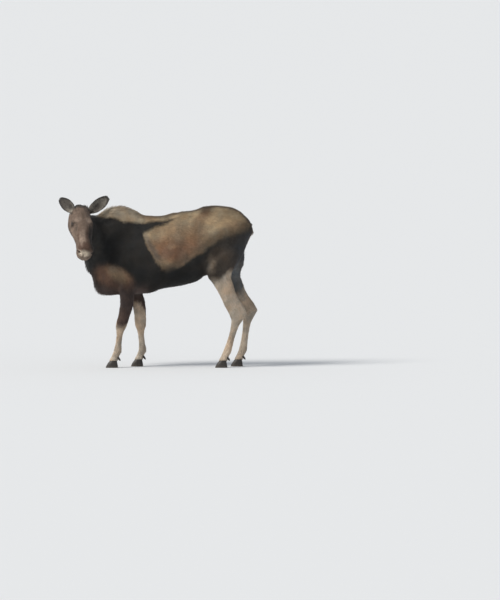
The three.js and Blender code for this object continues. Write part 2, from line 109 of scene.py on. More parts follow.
# %% [markdown]
# ## Camera, floor and light
# She is seen from far away with a long lens, three degrees down, so that near and far legs have
# almost the same scale. A long distance flattens her in the same way here. The floor is plain and
# pale and so wide that its edge never shows. The light is one large soft source high in front and
# to the left of the camera, with a pale sky all round.

# %% Camera
VIEW_DOWN = math.radians(3)
VIEW_DISTANCE = 150
FRAME_HEIGHT = 6.6                      # metres of her world from top to bottom of the picture
AIM = Vector((1.002, 0.256, 0.738))     # what the middle of the picture looks at
look = Vector((0, math.cos(VIEW_DOWN), -math.sin(VIEW_DOWN)))
lens = bpy.data.cameras.new("camera")
lens.lens = lens.sensor_width * VIEW_DISTANCE / FRAME_HEIGHT
lens.clip_end = 1000
camera = linked("camera", lens)
camera.location = AIM - look * VIEW_DISTANCE
camera.rotation_euler = look.to_track_quat("-Z", "Y").to_euler()
bpy.context.scene.camera = camera
bpy.context.scene.view_settings.view_transform = "Standard"
print("lens", round(lens.lens), "mm at", camera.location)


# %% Floor
FLOOR_RADIUS = 400


def new_finish(name, values):
    """A material, and its shader with these values on the shader's own sockets."""
    material = bpy.data.materials.new(name)
    material.use_nodes = True
    shader = material.node_tree.nodes["Principled BSDF"]
    for label, value in values.items():
        shader.inputs[label].default_value = value
    return material, shader


bm = bmesh.new()
bmesh.ops.create_circle(bm, cap_ends=True, segments=96, radius=FLOOR_RADIUS)
floor = modelled("floor", bm, smooth=False)
floor.data.materials.append(new_finish(
    "floor_paint", {"Base Color": (0.80, 0.82, 0.84, 1), "Roughness": 0.9})[0])
print("floor:", 2 * FLOOR_RADIUS, "m across")

# %% Light
KEY_WAY = Vector((0.70, 0.50, -0.82))   # from high in front and left of the camera
KEY_SPREAD = math.radians(25)           # as wide as a large studio screen
world = bpy.data.worlds.new("studio")
world.use_nodes = True
sky = world.node_tree.nodes["Background"].inputs
sky["Color"].default_value, sky["Strength"].default_value = (0.86, 0.90, 0.96, 1), 0.45
bpy.context.scene.world = world
key = bpy.data.lights.new("key", "SUN")
key.energy, key.angle, key.color = 2.85, KEY_SPREAD, (1.0, 0.96, 0.90)
linked("key", key).rotation_euler = KEY_WAY.to_track_quat("-Z", "Y").to_euler()
print("key light at", round(key.energy, 2), "as wide as", round(math.degrees(KEY_SPREAD)))

# %% [markdown]
# ## The hide
# A real animal has one skin. The solids have thin cuts between head, neck, trunk and legs, so
# each is copied, its loose triangles are merged, and it is swollen by a hair's breadth, so that
# neighbours overlap. A voxel remesh then makes one closed skin of them all. The hide lies under
# the fur, so afterwards every point moves inwards by the depth of the coat at that place.

# %% One closed skin from the flesh
VOXEL = 12 * MM
OVERLAP = 1.2 * MM


def merged_copy(node, swell):
    """A bmesh copy of a CAD node with its triangles joined, swollen along its own normals."""
    copy = bmesh.new()
    copy.from_mesh(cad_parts[node].data)
    bmesh.ops.remove_doubles(copy, verts=copy.verts, dist=0.01 * MM)
    copy.normal_update()
    for v in copy.verts:
        v.co += v.normal * swell
    return copy


bm = bmesh.new()
solid = bpy.data.meshes.new("solid")
for node in FLESH + ["eye_left", "eye_right"]:      # the balls fill their sockets for now
    part = merged_copy(node, OVERLAP)
    part.to_mesh(solid)
    part.free()
    bm.from_mesh(solid)
hide = modelled("hide", bm, smooth=False)
voxels = hide.modifiers.new("one skin", "REMESH")
voxels.mode, voxels.voxel_size, voxels.use_smooth_shade = "VOXEL", VOXEL, True
softer = hide.modifiers.new("softer", "SMOOTH")
softer.factor, softer.iterations = 0.5, 6
graph = bpy.context.evaluated_depsgraph_get()
skin = bpy.data.meshes.new_from_object(hide.evaluated_get(graph))
hide.modifiers.clear()
hide.data = skin
print("skin:", len(skin.polygons), "faces")

# %% [markdown]
# ## The head's own axes
# Lids, nostrils, lips and brows are placed along the head, not along the room: u runs from the
# back of the skull to the nose, v to her left, and w out of the forehead.

# %% Head frame, as the solids have it
HEAD_PITCH, HEAD_TURN, HEAD_TILT = (math.radians(a) for a in (46, 107, 5))
SHIFT = Vector((1.000244, 255.935684, 0)) * MM      # from the drawing's origin to the frame's
nose_way = Vector((-math.cos(HEAD_TURN) * math.cos(HEAD_PITCH),
                   -math.sin(HEAD_TURN) * math.cos(HEAD_PITCH), -math.sin(HEAD_PITCH)))
left_way = Vector((0, 0, 1)).cross(nose_way).normalized()
head_axes = (Matrix.Rotation(HEAD_TILT, 3, "Y")
             @ Matrix((nose_way, left_way, nose_way.cross(left_way))).transposed())
HEAD_AXES = np.array(head_axes)                      # columns: nose, left, forehead
HEAD_ORIGIN = np.array(Vector((-873, -380, 1725)) * MM + SHIFT)
EYE_BALL = 21 * MM
EYE = np.array((206, 103, 34)) * MM                  # her left eye; the right one mirrors it


def in_head(points):
    """Room coordinates as (u, v, w) in the head's frame."""
    return (points - HEAD_ORIGIN) @ HEAD_AXES


def from_head(local):
    return np.asarray(local) @ HEAD_AXES.T + HEAD_ORIGIN


for side, way in SIDES.items():
    middle = sum(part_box(f"eye_{side}"), Vector()) / 2
    print(side, "eye", np.round(from_head(EYE * (1, way, 1)), 4), np.round(middle, 4))

# %% [markdown]
# ## Where the coat is long and which way it lies
# Two fields drive everything that follows. One says how deep the coat is at a point: a few
# millimetres on the muzzle and shins, a hand's breadth on the hump and mane. The other says which
# way the hair lies: from the nose back over the face, down the neck, back and down over the
# trunk, straight down the legs. Both are read from landmarks of her own body.

# %% Landmarks
MID = SHIFT.y                                   # the plane that halves the trunk
LEG_JOINTS = {                                  # shoulder or hip, elbow or knee, wrist or hock,
    "fore_left": [(-0.514, 0.106, 1.165), (-0.344, 0.098, 0.905), (-0.414, 0.116, 0.475),
                  (-0.454, 0.120, 0.180), (-0.496, 0.122, 0.078)],       # fetlock and coronet
    "fore_right": [(-0.494, 0.406, 1.165), (-0.289, 0.414, 0.905), (-0.207, 0.394, 0.475),
                   (-0.181, 0.388, 0.180), (-0.221, 0.386, 0.078)],
    "hind_left": [(0.791, 0.126, 1.450), (0.601, 0.098, 1.070), (0.867, 0.128, 0.560),
                  (0.753, 0.130, 0.180), (0.707, 0.130, 0.078)],
    "hind_right": [(0.801, 0.386, 1.450), (0.701, 0.414, 1.065), (0.985, 0.384, 0.590),
                   (0.923, 0.382, 0.180), (0.877, 0.382, 0.078)],
}


def along_legs(points):
    """For each point: the distance to the nearest leg's line, how many joints down it lies, and
    that bone's direction."""
    nearest, joint = np.full(len(points), np.inf), np.zeros(len(points))
    way = np.zeros((len(points), 3))
    for joints in LEG_JOINTS.values():
        for k, (a, b) in enumerate(zip(joints, joints[1:])):
            a, bone = np.array(a), np.subtract(b, a)
            t = np.clip((points - a) @ bone / (bone @ bone), 0, 1)
            gap = np.linalg.norm(points - a - t[:, None] * bone, axis=1)
            closer = gap < nearest
            nearest, joint = np.where(closer, (gap, k + t), (nearest, joint))
            way[closer] = unit(bone)
    return nearest, joint, way


def headness(points):
    """1 on the head, 0 on the neck behind it and on all the rest."""
    u, v, w = in_head(points).T
    return ramp(u, -0.10, 0.05) * ramp(w, -0.31, -0.23) * ramp(abs(v), 0.26, 0.19)


def legness(points):
    gap, joint, _ = along_legs(points)
    x, _, z = points.T
    return ramp(joint, 0.75, 1.15) * ramp(gap, 0.17, 0.10) * np.where(
        x < 0.2, ramp(z, 1.02, 0.86), ramp(z, 1.22, 1.00))


def neckness(x, y, z):
    """Falls from trunk to neck: the border stands square to the neck's own line."""
    return 0.65 * x + 0.45 * (y - MID) - 0.1 * z


def afar(across, up, middle, reach, lean=0):
    """How many times its reach each point lies from the middle of a leaning ellipse."""
    across, up, turn = across - middle[0], up - middle[1], math.radians(lean)
    return np.hypot((across * math.cos(turn) - up * math.sin(turn)) / reach[0],
                    (across * math.sin(turn) + up * math.cos(turn)) / reach[1])


# %% Depth and lie of the coat
TRUNK_DEPTH, FACE_DEPTH, SHIN_DEPTH, TAIL_DEPTH = 20 * MM, 4.5 * MM, 7 * MM, 9 * MM
DEEPER = {                                     # middle and reach in x and z, extra depth
    "hump": ((-0.47, 1.74), (0.24, 0.13), 12 * MM),
    "mane": ((-0.72, 1.68), (0.16, 0.13), 9 * MM),
    "throat": ((-0.74, 1.22), (0.17, 0.24), 8 * MM),
    "brisket": ((-0.55, 0.90), (0.24, 0.18), 8 * MM),
    "belly": ((-0.05, 0.86), (0.42, 0.12), 6 * MM),
    "breeches": ((0.93, 1.28), (0.12, 0.24), 6 * MM),
}


def coat_depth(points):
    """How far the tips of the hair stand above the skin."""
    x, _, z = points.T
    local = in_head(points)
    u, _, w = local.T
    depth = np.full(len(points), TRUNK_DEPTH)
    for middle, reach, extra in DEEPER.values():
        depth += extra * ramp(afar(x, z, middle, reach), 1.3, 0.2)
    shin = SHIN_DEPTH + 9 * MM * ramp(along_legs(points)[1], 2.0, 1.1)
    face = FACE_DEPTH + 5 * MM * ramp(u, 0.30, 0.05) + 4 * MM * ramp(w, -0.10, -0.19)
    for way in SIDES.values():
        to_eye = np.linalg.norm(local - EYE * (1, way, 1), axis=1)
        face = face * (1 - 0.8 * ramp(to_eye, 0.055, 0.030))
    depth = toward(toward(depth, shin, legness(points)), face, headness(points))
    return toward(depth, TAIL_DEPTH, ramp(x, 0.965, 1.0) * ramp(z, 1.62, 1.58))


def lie_of_coat(points, normals):
    """The direction in which the hair lies, along the skin."""
    x, y, z = points.T
    u, v, w = in_head(points).T
    lie = np.tile([1.0, 0, -0.55], (len(points), 1))
    lie = toward(lie, (0.45, 0, -1.0), ramp(x, 0.55, 0.95))                             # rump
    lie = toward(lie, (0.35, 0, -1.0), ramp(x, -0.40, -0.62) * ramp(z, 1.35, 1.05))     # chest
    lie = toward(lie, (0.62, 0.45, -0.65), ramp(neckness(x, y, z), -0.52, -0.68))
    lie = toward(lie, along_legs(points)[2], legness(points))
    sides = np.sign(v) * ramp(abs(v), 0.0, 0.08)
    down = ramp(u, 0.45, 0.1) * ramp(w, 0.06, -0.02)
    face = np.stack([-np.ones(len(u)), 0.25 * sides, -0.55 * down], 1) @ HEAD_AXES.T
    lie = toward(lie, face, headness(points))
    waves = np.stack([np.sin(9 * x + 14 * z + 3 * y), np.sin(11 * y + 8 * z),
                      np.sin(13 * x - 7 * z + 5 * y)], 1)
    return laid(unit(lie) + 0.10 * waves, normals)


def laid(ways, normals):
    """The ways pressed flat onto the skin."""
    return unit(ways - normals * (ways * normals).sum(1, keepdims=True))


# %% [markdown]
# ## From solid flesh to living form
# The face needs far finer faces than the flank, so the head's edges are subdivided once or
# twice, and those of the muzzle, nostrils and eyes more often. Then the whole skin sinks by the
# depth of the coat, in small steps with fresh normals each time, so that it doesn't fold over
# itself on the narrow hump.

# %% Points and normals of a mesh, and smoothing
def points_of(mesh):
    flat = np.empty(len(mesh.vertices) * 3)
    mesh.vertices.foreach_get("co", flat)
    return flat.reshape(-1, 3)


def normals_of(mesh):
    flat = np.empty(len(mesh.vertices) * 3, np.float32)
    mesh.vertex_normals.foreach_get("vector", flat)
    return flat.reshape(-1, 3).astype(float)


def set_points(mesh, points):
    mesh.vertices.foreach_set("co", points.astype(np.float32).ravel())
    mesh.update()


def relax(mesh, *passes):
    """Smooths a mesh: each pass says which points, how many times and how strongly."""
    with opened(mesh) as bm:
        for chosen, times, factor in passes:
            verts = [bm.verts[i] for i in np.flatnonzero(chosen)]
            for _ in range(times):
                bmesh.ops.smooth_vert(bm, verts=verts, factor=factor, use_axis_x=True,
                                      use_axis_y=True, use_axis_z=True)


# %% Finer faces where the face needs them
FINER = [((0.10, 0, -0.03), 0.17), ((0.30, 0, -0.03), 0.15), ((0.50, 0, -0.05), 0.16),
         ((0.555, 0, -0.06), 0.11)]              # balls in the head frame: middle, radius
for way in SIDES.values():                       # both eyes, then that side's nostril
    FINER += [(EYE * (1, way, 1), 0.058), (EYE * (1, way, 1), 0.040),
              ((0.556, way * 0.092, -0.014), 0.036)]
EAR_ROOT = np.array((40, 94, 62)) * MM
EAR_STUMP = 88 * MM
with opened(skin) as bm:
    for centre, radius in FINER:
        middle = Vector(from_head(centre))
        near = {v for v in bm.verts if (v.co - middle).length < radius}
        edges = [e for e in bm.edges if e.verts[0] in near and e.verts[1] in near]
        bmesh.ops.subdivide_edges(bm, edges=edges, cuts=1, use_grid_fill=True)
    bmesh.ops.triangulate(bm, faces=[f for f in bm.faces if len(f.verts) > 4])
u, _, w = in_head(points_of(skin)).T
relax(skin, ((u > -0.05) & (w > -0.3), 3, 0.5))
for way in SIDES.values():          # the stumps of the ears sink into the skull; ears come later
    root = from_head(EAR_ROOT * (1, way, 1))
    relax(skin, (np.linalg.norm(points_of(skin) - root, axis=1) < EAR_STUMP, 70, 0.5))
print("refined skin:", sum(len(f.vertices) - 2 for f in skin.polygons), "triangles")

# %% Sink the skin under the coat
SINK_STEPS = 8
FEET = 0.13                                     # below this height the skin only draws inwards
x, y, z = points_of(skin).T                     # the joint of neck and shoulder shows no seam
relax(skin, ((-0.68 < x) & (x < -0.44) & (0.86 < z) & (z < 1.6) & (abs(y - MID) > 0.06), 45, 0.5))
outline, ways = points_of(skin), normals_of(skin)
flesh_tree = BVHTree.FromPolygons([tuple(p) for p in outline],
                                  [tuple(f.vertices) for f in skin.polygons])
room = np.array([flesh_tree.ray_cast(Vector(p - n * MM), Vector(-n))[3] or 1
                 for p, n in zip(outline, ways)])
sink = coat_depth(outline) * (1 - 0.7 * ramp(outline[:, 2], 0.20, 0.10))
sink = np.minimum(sink, 0.30 * room)            # never more than a share of what is there
for step in range(SINK_STEPS):
    ways = normals_of(skin)
    ways[:, 2] *= ramp(outline[:, 2], FEET - 0.05, FEET)
    set_points(skin, points_of(skin) - ways * (sink / SINK_STEPS)[:, None])
    relax(skin, (sink > 14 * MM, 1, 0.6), (sink > 29 * MM, 5, 0.6))
print("coat depth from", round(sink.min() / MM, 1), "to", round(sink.max() / MM, 1), "mm")

# %% Round the knife edge of hump and mane
RIDGE = np.array([(0.10, 0.256, 1.69), (-0.17, 0.256, 1.67), (-0.31, 0.256, 1.735),
                  (-0.45, 0.256, 1.777), (-0.56, 0.256, 1.749), (-0.64, 0.242, 1.692),
                  (-0.69, 0.206, 1.664), (-0.76, 0.136, 1.67), (-0.82, 0.051, 1.694)])
RIDGE_COAT = 8 * MM


def from_ridge(points):
    """How far each point lies from the line of hump and mane, in plan and in height."""
    gap, lift = np.full(len(points), np.inf), np.zeros(len(points))
    for a, b in zip(RIDGE, RIDGE[1:]):
        t = np.clip((points - a)[:, :2] @ (b - a)[:2] / ((b - a)[:2] @ (b - a)[:2]), 0, 1)
        off = points - a - t[:, None] * (b - a)
        flat = np.hypot(off[:, 0], off[:, 1])
        gap, lift = np.where(flat < gap, (flat, off[:, 2]), (gap, lift))
    return gap, lift


gap, lift = from_ridge(points_of(skin))
relax(skin, ((gap < 0.024) & (abs(lift) < 0.13), 60, 0.5))
sunk = points_of(skin)                           # the rounding sinks the crest: it comes up again
gap, lift = from_ridge(sunk)
near = np.flatnonzero((gap < 0.10) & (abs(lift) < 0.16))
above = np.array([flesh_tree.ray_cast(Vector(p), Vector((0, 0, 1)), 0.15)[3] or 0
                  for p in sunk[near]])
facing = ramp(normals_of(skin)[near, 2], 0.2, 0.8) * ramp(gap[near], 0.10, 0.04)
raised = np.maximum(above - RIDGE_COAT, 0) * facing
sunk[near, 2] += raised
set_points(skin, sunk)
relax(skin, ((gap < 0.10) & (abs(lift) < 0.16), 6, 0.5))
print("crest raised by up to", round(raised.max() / MM), "mm")

# %% [markdown]
# ## Bones and hollows under the skin
# A winter moose is a rug over a frame: the hip bone, the hollow of the flank in front of it, the
# fold behind the elbow and the shoulder blade still show. Each is a soft push along the normal,
# on both sides alike, and smaller than the coat is deep, so that it stays inside the solids.

# %% Forms of the trunk
TRUNK_FORMS = {                    # middle and reach in x and z, lean in degrees, height
    "hip_bone": ((0.47, 1.66), (0.075, 0.06), 0, 9 * MM),
    "flank_hollow": ((0.36, 1.50), (0.12, 0.13), 20, -15 * MM),
    "pin_bone": ((0.94, 1.50), (0.06, 0.07), 0, 6 * MM),
    "thigh": ((0.68, 1.28), (0.15, 0.20), -15, 7 * MM),
    "stifle_fold": ((0.46, 1.10), (0.05, 0.14), -25, -12 * MM),
    "shoulder_blade": ((-0.42, 1.40), (0.10, 0.24), 12, 5 * MM),
    "behind_shoulder": ((-0.20, 1.36), (0.09, 0.24), 10, -7 * MM),
    "point_of_shoulder": ((-0.54, 1.13), (0.09, 0.09), 0, 8 * MM),
    "elbow": ((-0.27, 0.93), (0.06, 0.06), 0, 7 * MM),
    "behind_elbow": ((-0.17, 0.98), (0.06, 0.12), 15, -9 * MM),
    "jugular_groove": ((-0.66, 1.36), (0.035, 0.18), 35, -7 * MM),
}


def pushes(forms, across, up):
    """The sum of soft pushes from a table of forms."""
    return sum(height * ramp(afar(across, up, middle, reach, lean), 1.4, 0.0)
               for middle, reach, lean, height in forms.values())


points, normals = points_of(skin), normals_of(skin)
push = pushes(TRUNK_FORMS, points[:, 0], points[:, 2])
push *= ramp(abs(normals[:, 1]), 0.25, 0.7) * (1 - headness(points))
set_points(skin, points + normals * push[:, None])

# %% Forms of the face
FACE_FORMS = {                     # the same in u and w
    "cheek_muscle": ((0.135, -0.115), (0.085, 0.065), 0, 6 * MM),
    "cheek_hollow": ((0.315, -0.075), (0.07, 0.03), 10, -5 * MM),
    "face_crest": ((0.300, -0.028), (0.09, 0.014), 8, 3.5 * MM),
    "behind_lips": ((0.400, -0.085), (0.055, 0.04), 0, -6 * MM),
    "upper_lip": ((0.530, -0.085), (0.07, 0.024), 0, 4 * MM),
    "wing_fold": ((0.482, -0.005), (0.016, 0.055), -12, -5 * MM),
    "side_hollow": ((0.405, -0.010), (0.060, 0.06), 0, -7 * MM),
    "temple": ((0.120, 0.045), (0.04, 0.03), 0, -4 * MM),
    "gland_slit": ((0.252, 0.018), (0.020, 0.0035), 25, -5 * MM),
}
NOSTRIL = (0.560, -0.016)
NOSTRIL_LEAN = math.radians(35)
MOUTH = (-0.110, 0.06)                          # the line of the lips: its height and slope
LIP_TIP = 0.56                                  # where along the head that height is taken


def over_mouth(u, w):
    """How high a place is above the line of the lips."""
    return w - MOUTH[0] + MOUTH[1] * (u - LIP_TIP)


points, normals = points_of(skin), normals_of(skin)
u, v, w = in_head(points).T
head = headness(points)
sideways = abs(normals @ HEAD_AXES[:, 1])
push = pushes(FACE_FORMS, u, w) * ramp(sideways, 0.3, 0.7)
from_u, from_w = u - NOSTRIL[0], w - NOSTRIL[1]                 # a nostril is a comma
along = from_u * math.cos(NOSTRIL_LEAN) + from_w * math.sin(NOSTRIL_LEAN)
across = from_w * math.cos(NOSTRIL_LEAN) - from_u * math.sin(NOSTRIL_LEAN)
slit = np.hypot(along / 0.038, across / (0.0150 + 0.16 * along))
beside = ramp(abs(v), 0.040, 0.055) * ramp(u, 0.50, 0.52)
push += beside * (ramp(slit, 1.6, 1.05) * ramp(slit, 0.7, 1.05) * 4 * MM
                  - 28 * MM * ramp(slit, 1.0, 0.40))
mouth = over_mouth(u, w)
lips = ramp(u, 0.440, 0.475) * ramp(u, 0.600, 0.585)
push -= 10 * MM * lips * ramp(abs(mouth), 6.5 * MM, 0.5 * MM)
push += 2.5 * MM * lips * ramp(abs(mouth + 0.016), 12 * MM, 2 * MM)
push -= 3 * MM * ramp(abs(v), 5 * MM, 0.5 * MM) * ramp(u, 0.575, 0.595)
flat_on = 1 - sideways ** 2                      # the top and the under side, not the cheeks
push -= 8 * MM * flat_on * ramp(abs(u - 0.395), 0.10, 0.0) * ramp(w, 0.03, 0.06)
push -= 15 * MM * flat_on * ramp(abs(u - 0.385), 0.12, 0.01) * ramp(w, -0.10, -0.13)
chin = ramp(mouth, -2 * MM, -9 * MM) * ramp(u, 0.50, 0.60) * head
points = points - HEAD_AXES[:, 0] * (24 * MM * chin)[:, None]     # the chin sits behind the lip
set_points(skin, points + normals * (push * head)[:, None])
print("forms:", len(TRUNK_FORMS), "on the trunk,", len(FACE_FORMS), "on the face")

# %% [markdown]
# ## Lids over the eyes
# A real lid rides on the ball itself. Round each eye the skin is read as a height over the plane
# that faces the way the eye looks. It is lifted onto a ball a little larger than the eye's own,
# and inside the almond-shaped opening it drops behind the eye, where the eye takes over.

# %% Lids
GAZE = np.array((0.22, 1.0, 0.16))               # forward, outward, up
SLIT_LONG, SLIT_HIGH = 20 * MM, 12.5 * MM        # half the opening each way
SLIT_RISE = 0.8 * MM                             # the opening's middle above the ball's
LID = 3.0 * MM                                   # thickness of a lid with its short fur
LID_LONG, LID_HIGH = 40 * MM, 34 * MM            # how far round the eye the skin is shaped


def eye_axes(way):
    """The eye's middle, and its directions to the inner corner, up, and out."""
    out = unit(GAZE * (1, way, 1))
    inner = np.array((1, 0, -0.18))
    inner = unit(inner - out * (inner @ out))
    up = np.cross(out, inner) * (1 if way < 0 else -1)
    return EYE * (1, way, 1), inner, up * np.sign(up[2]), out


def over_ball(radius, far):
    """How high a ball of this radius stands over its middle's plane."""
    return np.sqrt(np.maximum(radius ** 2 - far ** 2, 0))


local = in_head(points_of(skin))
for way in SIDES.values():
    middle, inner, up, out = eye_axes(way)
    from_eye = local - middle
    a, b, height = from_eye @ inner, from_eye @ up, from_eye @ out
    near = (np.hypot(a / LID_LONG, b / LID_HIGH) < 1) & (height > -12 * MM)
    a, b, height = a[near], b[near], height[near]
    far = np.hypot(a, b)
    slit = abs(b - SLIT_RISE) / (SLIT_HIGH * np.maximum(1 - (a / SLIT_LONG) ** 2, 0.02))
    crease = 1.3 * MM * ramp(abs(slit - 1.75), 0.3, 0.0) * ramp(far, 0.030, 0.022)
    lidded = np.maximum(height, over_ball(EYE_BALL + LID, far)) - crease
    opening = ramp(slit, 1.12, 0.88) * ramp(abs(a), SLIT_LONG, 0.93 * SLIT_LONG)
    lift = toward(lidded, over_ball(EYE_BALL - 3 * MM, far), opening) - height
    local[near] += lift[:, None] * out
set_points(skin, from_head(local))
print("lids: half opening", SLIT_LONG / MM, "by", SLIT_HIGH / MM, "mm")

# %% [markdown]
# ## Ears
# An ear is a cupped leaf of gristle, closest to a tube at its root and flat at its tip. It is far
# too thin for the voxels, so each starts as a flat grid. The grid is bent into the leaf, given
# its wall with solidify, and joined to the hide, with its root sunk in the skull.

# %% The leaf of an ear
EAR_LENGTH, EAR_HALF_WIDTH = 260 * MM, 67 * MM
EARS = {"left": ((0.8, 0.1, 0.6), (0.15, -0.95, 0.25)),       # reach, and where the cup opens
        "right": ((-0.56, 0.69, 0.44), (-0.5, -0.85, 0.2))}
EAR_STEPS, EAR_ARC = 44, 30
EAR_SINK = 0.14                      # the share of its length that goes on into the skull
EAR_SAG = 14 * MM
EAR_HALF_TURN = 1.5                  # radians from the middle line to a rim
EAR_SKIN = 1.5 * MM                  # the outer hair's depth
EAR_WALL, EAR_EDGE = 5 * MM, 1.4 * MM    # how thick the leaf is, and how its rim is rounded
EAR_BEND = 40 * MM                   # how deep the cup is, to tell rim from middle
EAR_WIDTHS = ((-EAR_SINK, 0, 0.2, 0.35, 0.5, 0.65, 0.8, 0.9, 0.96, 1),
              (0.28, 0.47, 0.78, 0.93, 1.0, 0.96, 0.78, 0.58, 0.40, 0.10))
EAR_DEPTHS = ((-EAR_SINK, 0, 0.3, 0.7, 1), (36, 46, 42, 22, 4))          # in millimetres


def ear_axes(side):
    reach, opens = (np.array(d) for d in EARS[side])
    axis = unit(reach)
    opening = unit(opens - axis * (opens @ axis))
    root = from_head(EAR_ROOT * (1, SIDES[side], 1))
    return root, axis, opening, np.cross(axis, opening)


def ear_middle(side, t, sag_at):
    """The middle line of the leaf, which sags a little between root and tip."""
    root, axis, opening, _ = ear_axes(side)
    return (root + axis * (t * EAR_LENGTH)[..., None]
            - opening * (EAR_SAG * np.sin(np.pi * sag_at))[..., None])


def ear_point(side, t, turn, inset):
    """A point of the leaf: t from root to tip, turn from one rim (-1) to the other (1)."""
    _, _, opening, across = ear_axes(side)
    angle = EAR_HALF_TURN * turn
    width = EAR_HALF_WIDTH * np.interp(t, *EAR_WIDTHS)
    depth = np.interp(t, *EAR_DEPTHS) * MM
    fold = 2.2 * MM * np.cos(9 * turn) * ramp(t, 0.0, 0.3) * ramp(t, 0.95, 0.6) * (1 - turn ** 2)
    return (ear_middle(side, t, np.maximum(t, 0))
            + across * ((width - inset) * np.sin(angle))[..., None]
            - opening * ((depth - inset) * np.cos(angle) + fold)[..., None])


def in_ear(points):
    """For each point: how far up an ear it lies (below 0 off the ears), where between the rims,
    and 1 where it is on the inner side of the cup. Also the direction to the ear's tip."""
    t_best = np.full(len(points), -1.0)
    turn, inner = np.zeros(len(points)), np.zeros(len(points))
    way = np.zeros((len(points), 3))
    for side in SIDES:
        root, axis, opening, across = ear_axes(side)
        t = (points - root) @ axis / EAR_LENGTH
        off = points - ear_middle(side, t, np.clip(t, 0, 1))
        a = np.arctan2(off @ across / EAR_HALF_WIDTH, -(off @ opening) / EAR_BEND) / EAR_HALF_TURN
        near = (np.linalg.norm(off, axis=1) < 0.075) & (t > -0.05) & (t < 1.05)
        t_best[near], turn[near], way[near] = t[near], a[near], axis
        outer = ear_point(side, t[near], np.clip(a[near], -1, 1), 0)
        inner[near] = np.linalg.norm(points[near] - outer, axis=1) > 4.2 * MM
    return t_best, turn, inner, way


# %% Bend a grid into each ear and join it to the hide
ear_start = len(skin.vertices)
for side in SIDES:
    bm = bmesh.new()
    bmesh.ops.create_grid(bm, x_segments=EAR_STEPS, y_segments=EAR_ARC, size=1)
    grid = np.array([v.co for v in bm.verts])
    t = -EAR_SINK + 1.13 * (grid[:, 0] + 1) / 2
    for v, place in zip(bm.verts, ear_point(side, t, grid[:, 1], EAR_SKIN)):
        v.co = place
    bmesh.ops.recalc_face_normals(bm, faces=bm.faces)
    if bm.faces[len(bm.faces) // 2].normal.dot(Vector(ear_axes(side)[2])) > 0:
        bmesh.ops.reverse_faces(bm, faces=bm.faces)
    bmesh.ops.solidify(bm, geom=bm.faces[:], thickness=EAR_WALL)
    rim = [e for e in bm.edges if e.calc_face_angle(0) > 1.0]
    bmesh.ops.bevel(bm, geom=rim, offset=EAR_EDGE, affect="EDGES", segments=2, profile=0.5,
                    material=-1)
    bm.to_mesh(solid)
    bm.free()
    print(side, "ear:", len(solid.polygons), "faces")
    with opened(skin) as bm:
        bm.from_mesh(solid)
bpy.data.meshes.remove(solid)
with opened(skin) as bm:
    bmesh.ops.triangulate(bm, faces=bm.faces)
skin.polygons.foreach_set("use_smooth", [True] * len(skin.polygons))

# %% [markdown]
# ## The winter coat
# Each tuft is a thin three-sided blade, wide in its first half and closed to a point. Its root is
# in the skin and it rises slowly along the lie of the coat, so that its tip lies on the next
# tufts' backs, as shingles do. More than a million points are needed, so all the tufts of one
# region are made straight from arrays, as one joined mesh. Their shading normals lean towards
# the skin's own, because a coat is lit as one soft surface.

# %% Triangles of the hide
skin.calc_loop_triangles()
corners = np.empty(len(skin.loop_triangles) * 3, np.int32)
skin.loop_triangles.foreach_get("vertices", corners)
corners = corners.reshape(-1, 3)
skin_points, skin_normals = points_of(skin), normals_of(skin)
a, b, c = (skin_points[corners[:, k]] for k in range(3))
middles, areas = (a + b + c) / 3, np.linalg.norm(np.cross(b - a, c - a), axis=1) / 2
x, y, z = middles.T
local = in_head(middles)
u, v, w = local.T
head, leg, joint = headness(middles), legness(middles), along_legs(middles)[1]
ear_t, _, ear_inner, ear_way = in_ear(middles)
on_ear = ear_t > 0.02
gap, lift = from_ridge(middles)
print("hide:", len(corners), "triangles, of them on the ears:", int(on_ear.sum()))

# %% How high the coat stands and how long its hair is
CREST, BELLY_FRINGE = 17 * MM, 14 * MM           # how much higher it stands there
TAIL_HAIR, TAIL_RISE, EAR_HAIR, CUP_HAIR = 48 * MM, 14 * MM, 11 * MM, 17 * MM
nominal = coat_depth(skin_points)
# The room above the skin is measured, up to the surface of the solids.
room = np.array([flesh_tree.ray_cast(Vector(p), Vector(n), 0.1)[3] or 0
                 for p, n in zip(skin_points, skin_normals)])
depth = np.where(room > 0, np.minimum(room, 2 * nominal + 15 * MM), 0.5 * nominal)
depth = depth[corners].mean(1) * (1 - 0.35 * head)
crest = ramp(gap, 0.09, 0.02) * ramp(abs(lift), 0.14, 0.08) * ramp(x, -0.10, -0.34)
under = ramp(-skin_normals[corners].mean(1)[:, 2], 0.3, 0.8) * (1 - leg) * (1 - head)
depth += CREST * crest + BELLY_FRINGE * under * ramp(x, -0.40, -0.10)
hair = toward(22 * MM + 1.5 * depth, 24 * MM + 22 * MM * ramp(joint, 2.0, 1.0), leg)
hair = toward(hair, 12 * MM + 10 * MM * ramp(u, 0.42, 0.10), head)
hip_hair = (7 + 8 * ramp(abs(x - 0.53), 0.13, 0.04)) * MM
LOCKS = {                                        # where, how much longer, how much higher
    "bell": (ramp(afar(x, z, (-0.83, 1.18), (0.13, 0.17)), 1, 0) * (1 - head), 70 * MM, 55 * MM),
    "brisket": (ramp(afar(x, z, (-0.69, 0.935), (0.12, 0.11)), 1, 0), 30 * MM, 34 * MM),
    "croup": (ramp(x, 0.05, 0.25) * ramp(x, 0.80, 0.62) * ramp(gap, 0.16, 0.05), 0, hip_hair),
    "cheek": (head * ramp(abs(u - 0.35), 0.15, 0.05) * ramp(abs(v), 0.055, 0.085)
              * ramp(w, 0.06, 0.0), 10 * MM, 9 * MM),
    "poll": (ramp(np.linalg.norm(local - (0.0, 0.065, 0.07), axis=1), 0.060, 0.015)
             * ~on_ear, 32 * MM, 26 * MM),
}
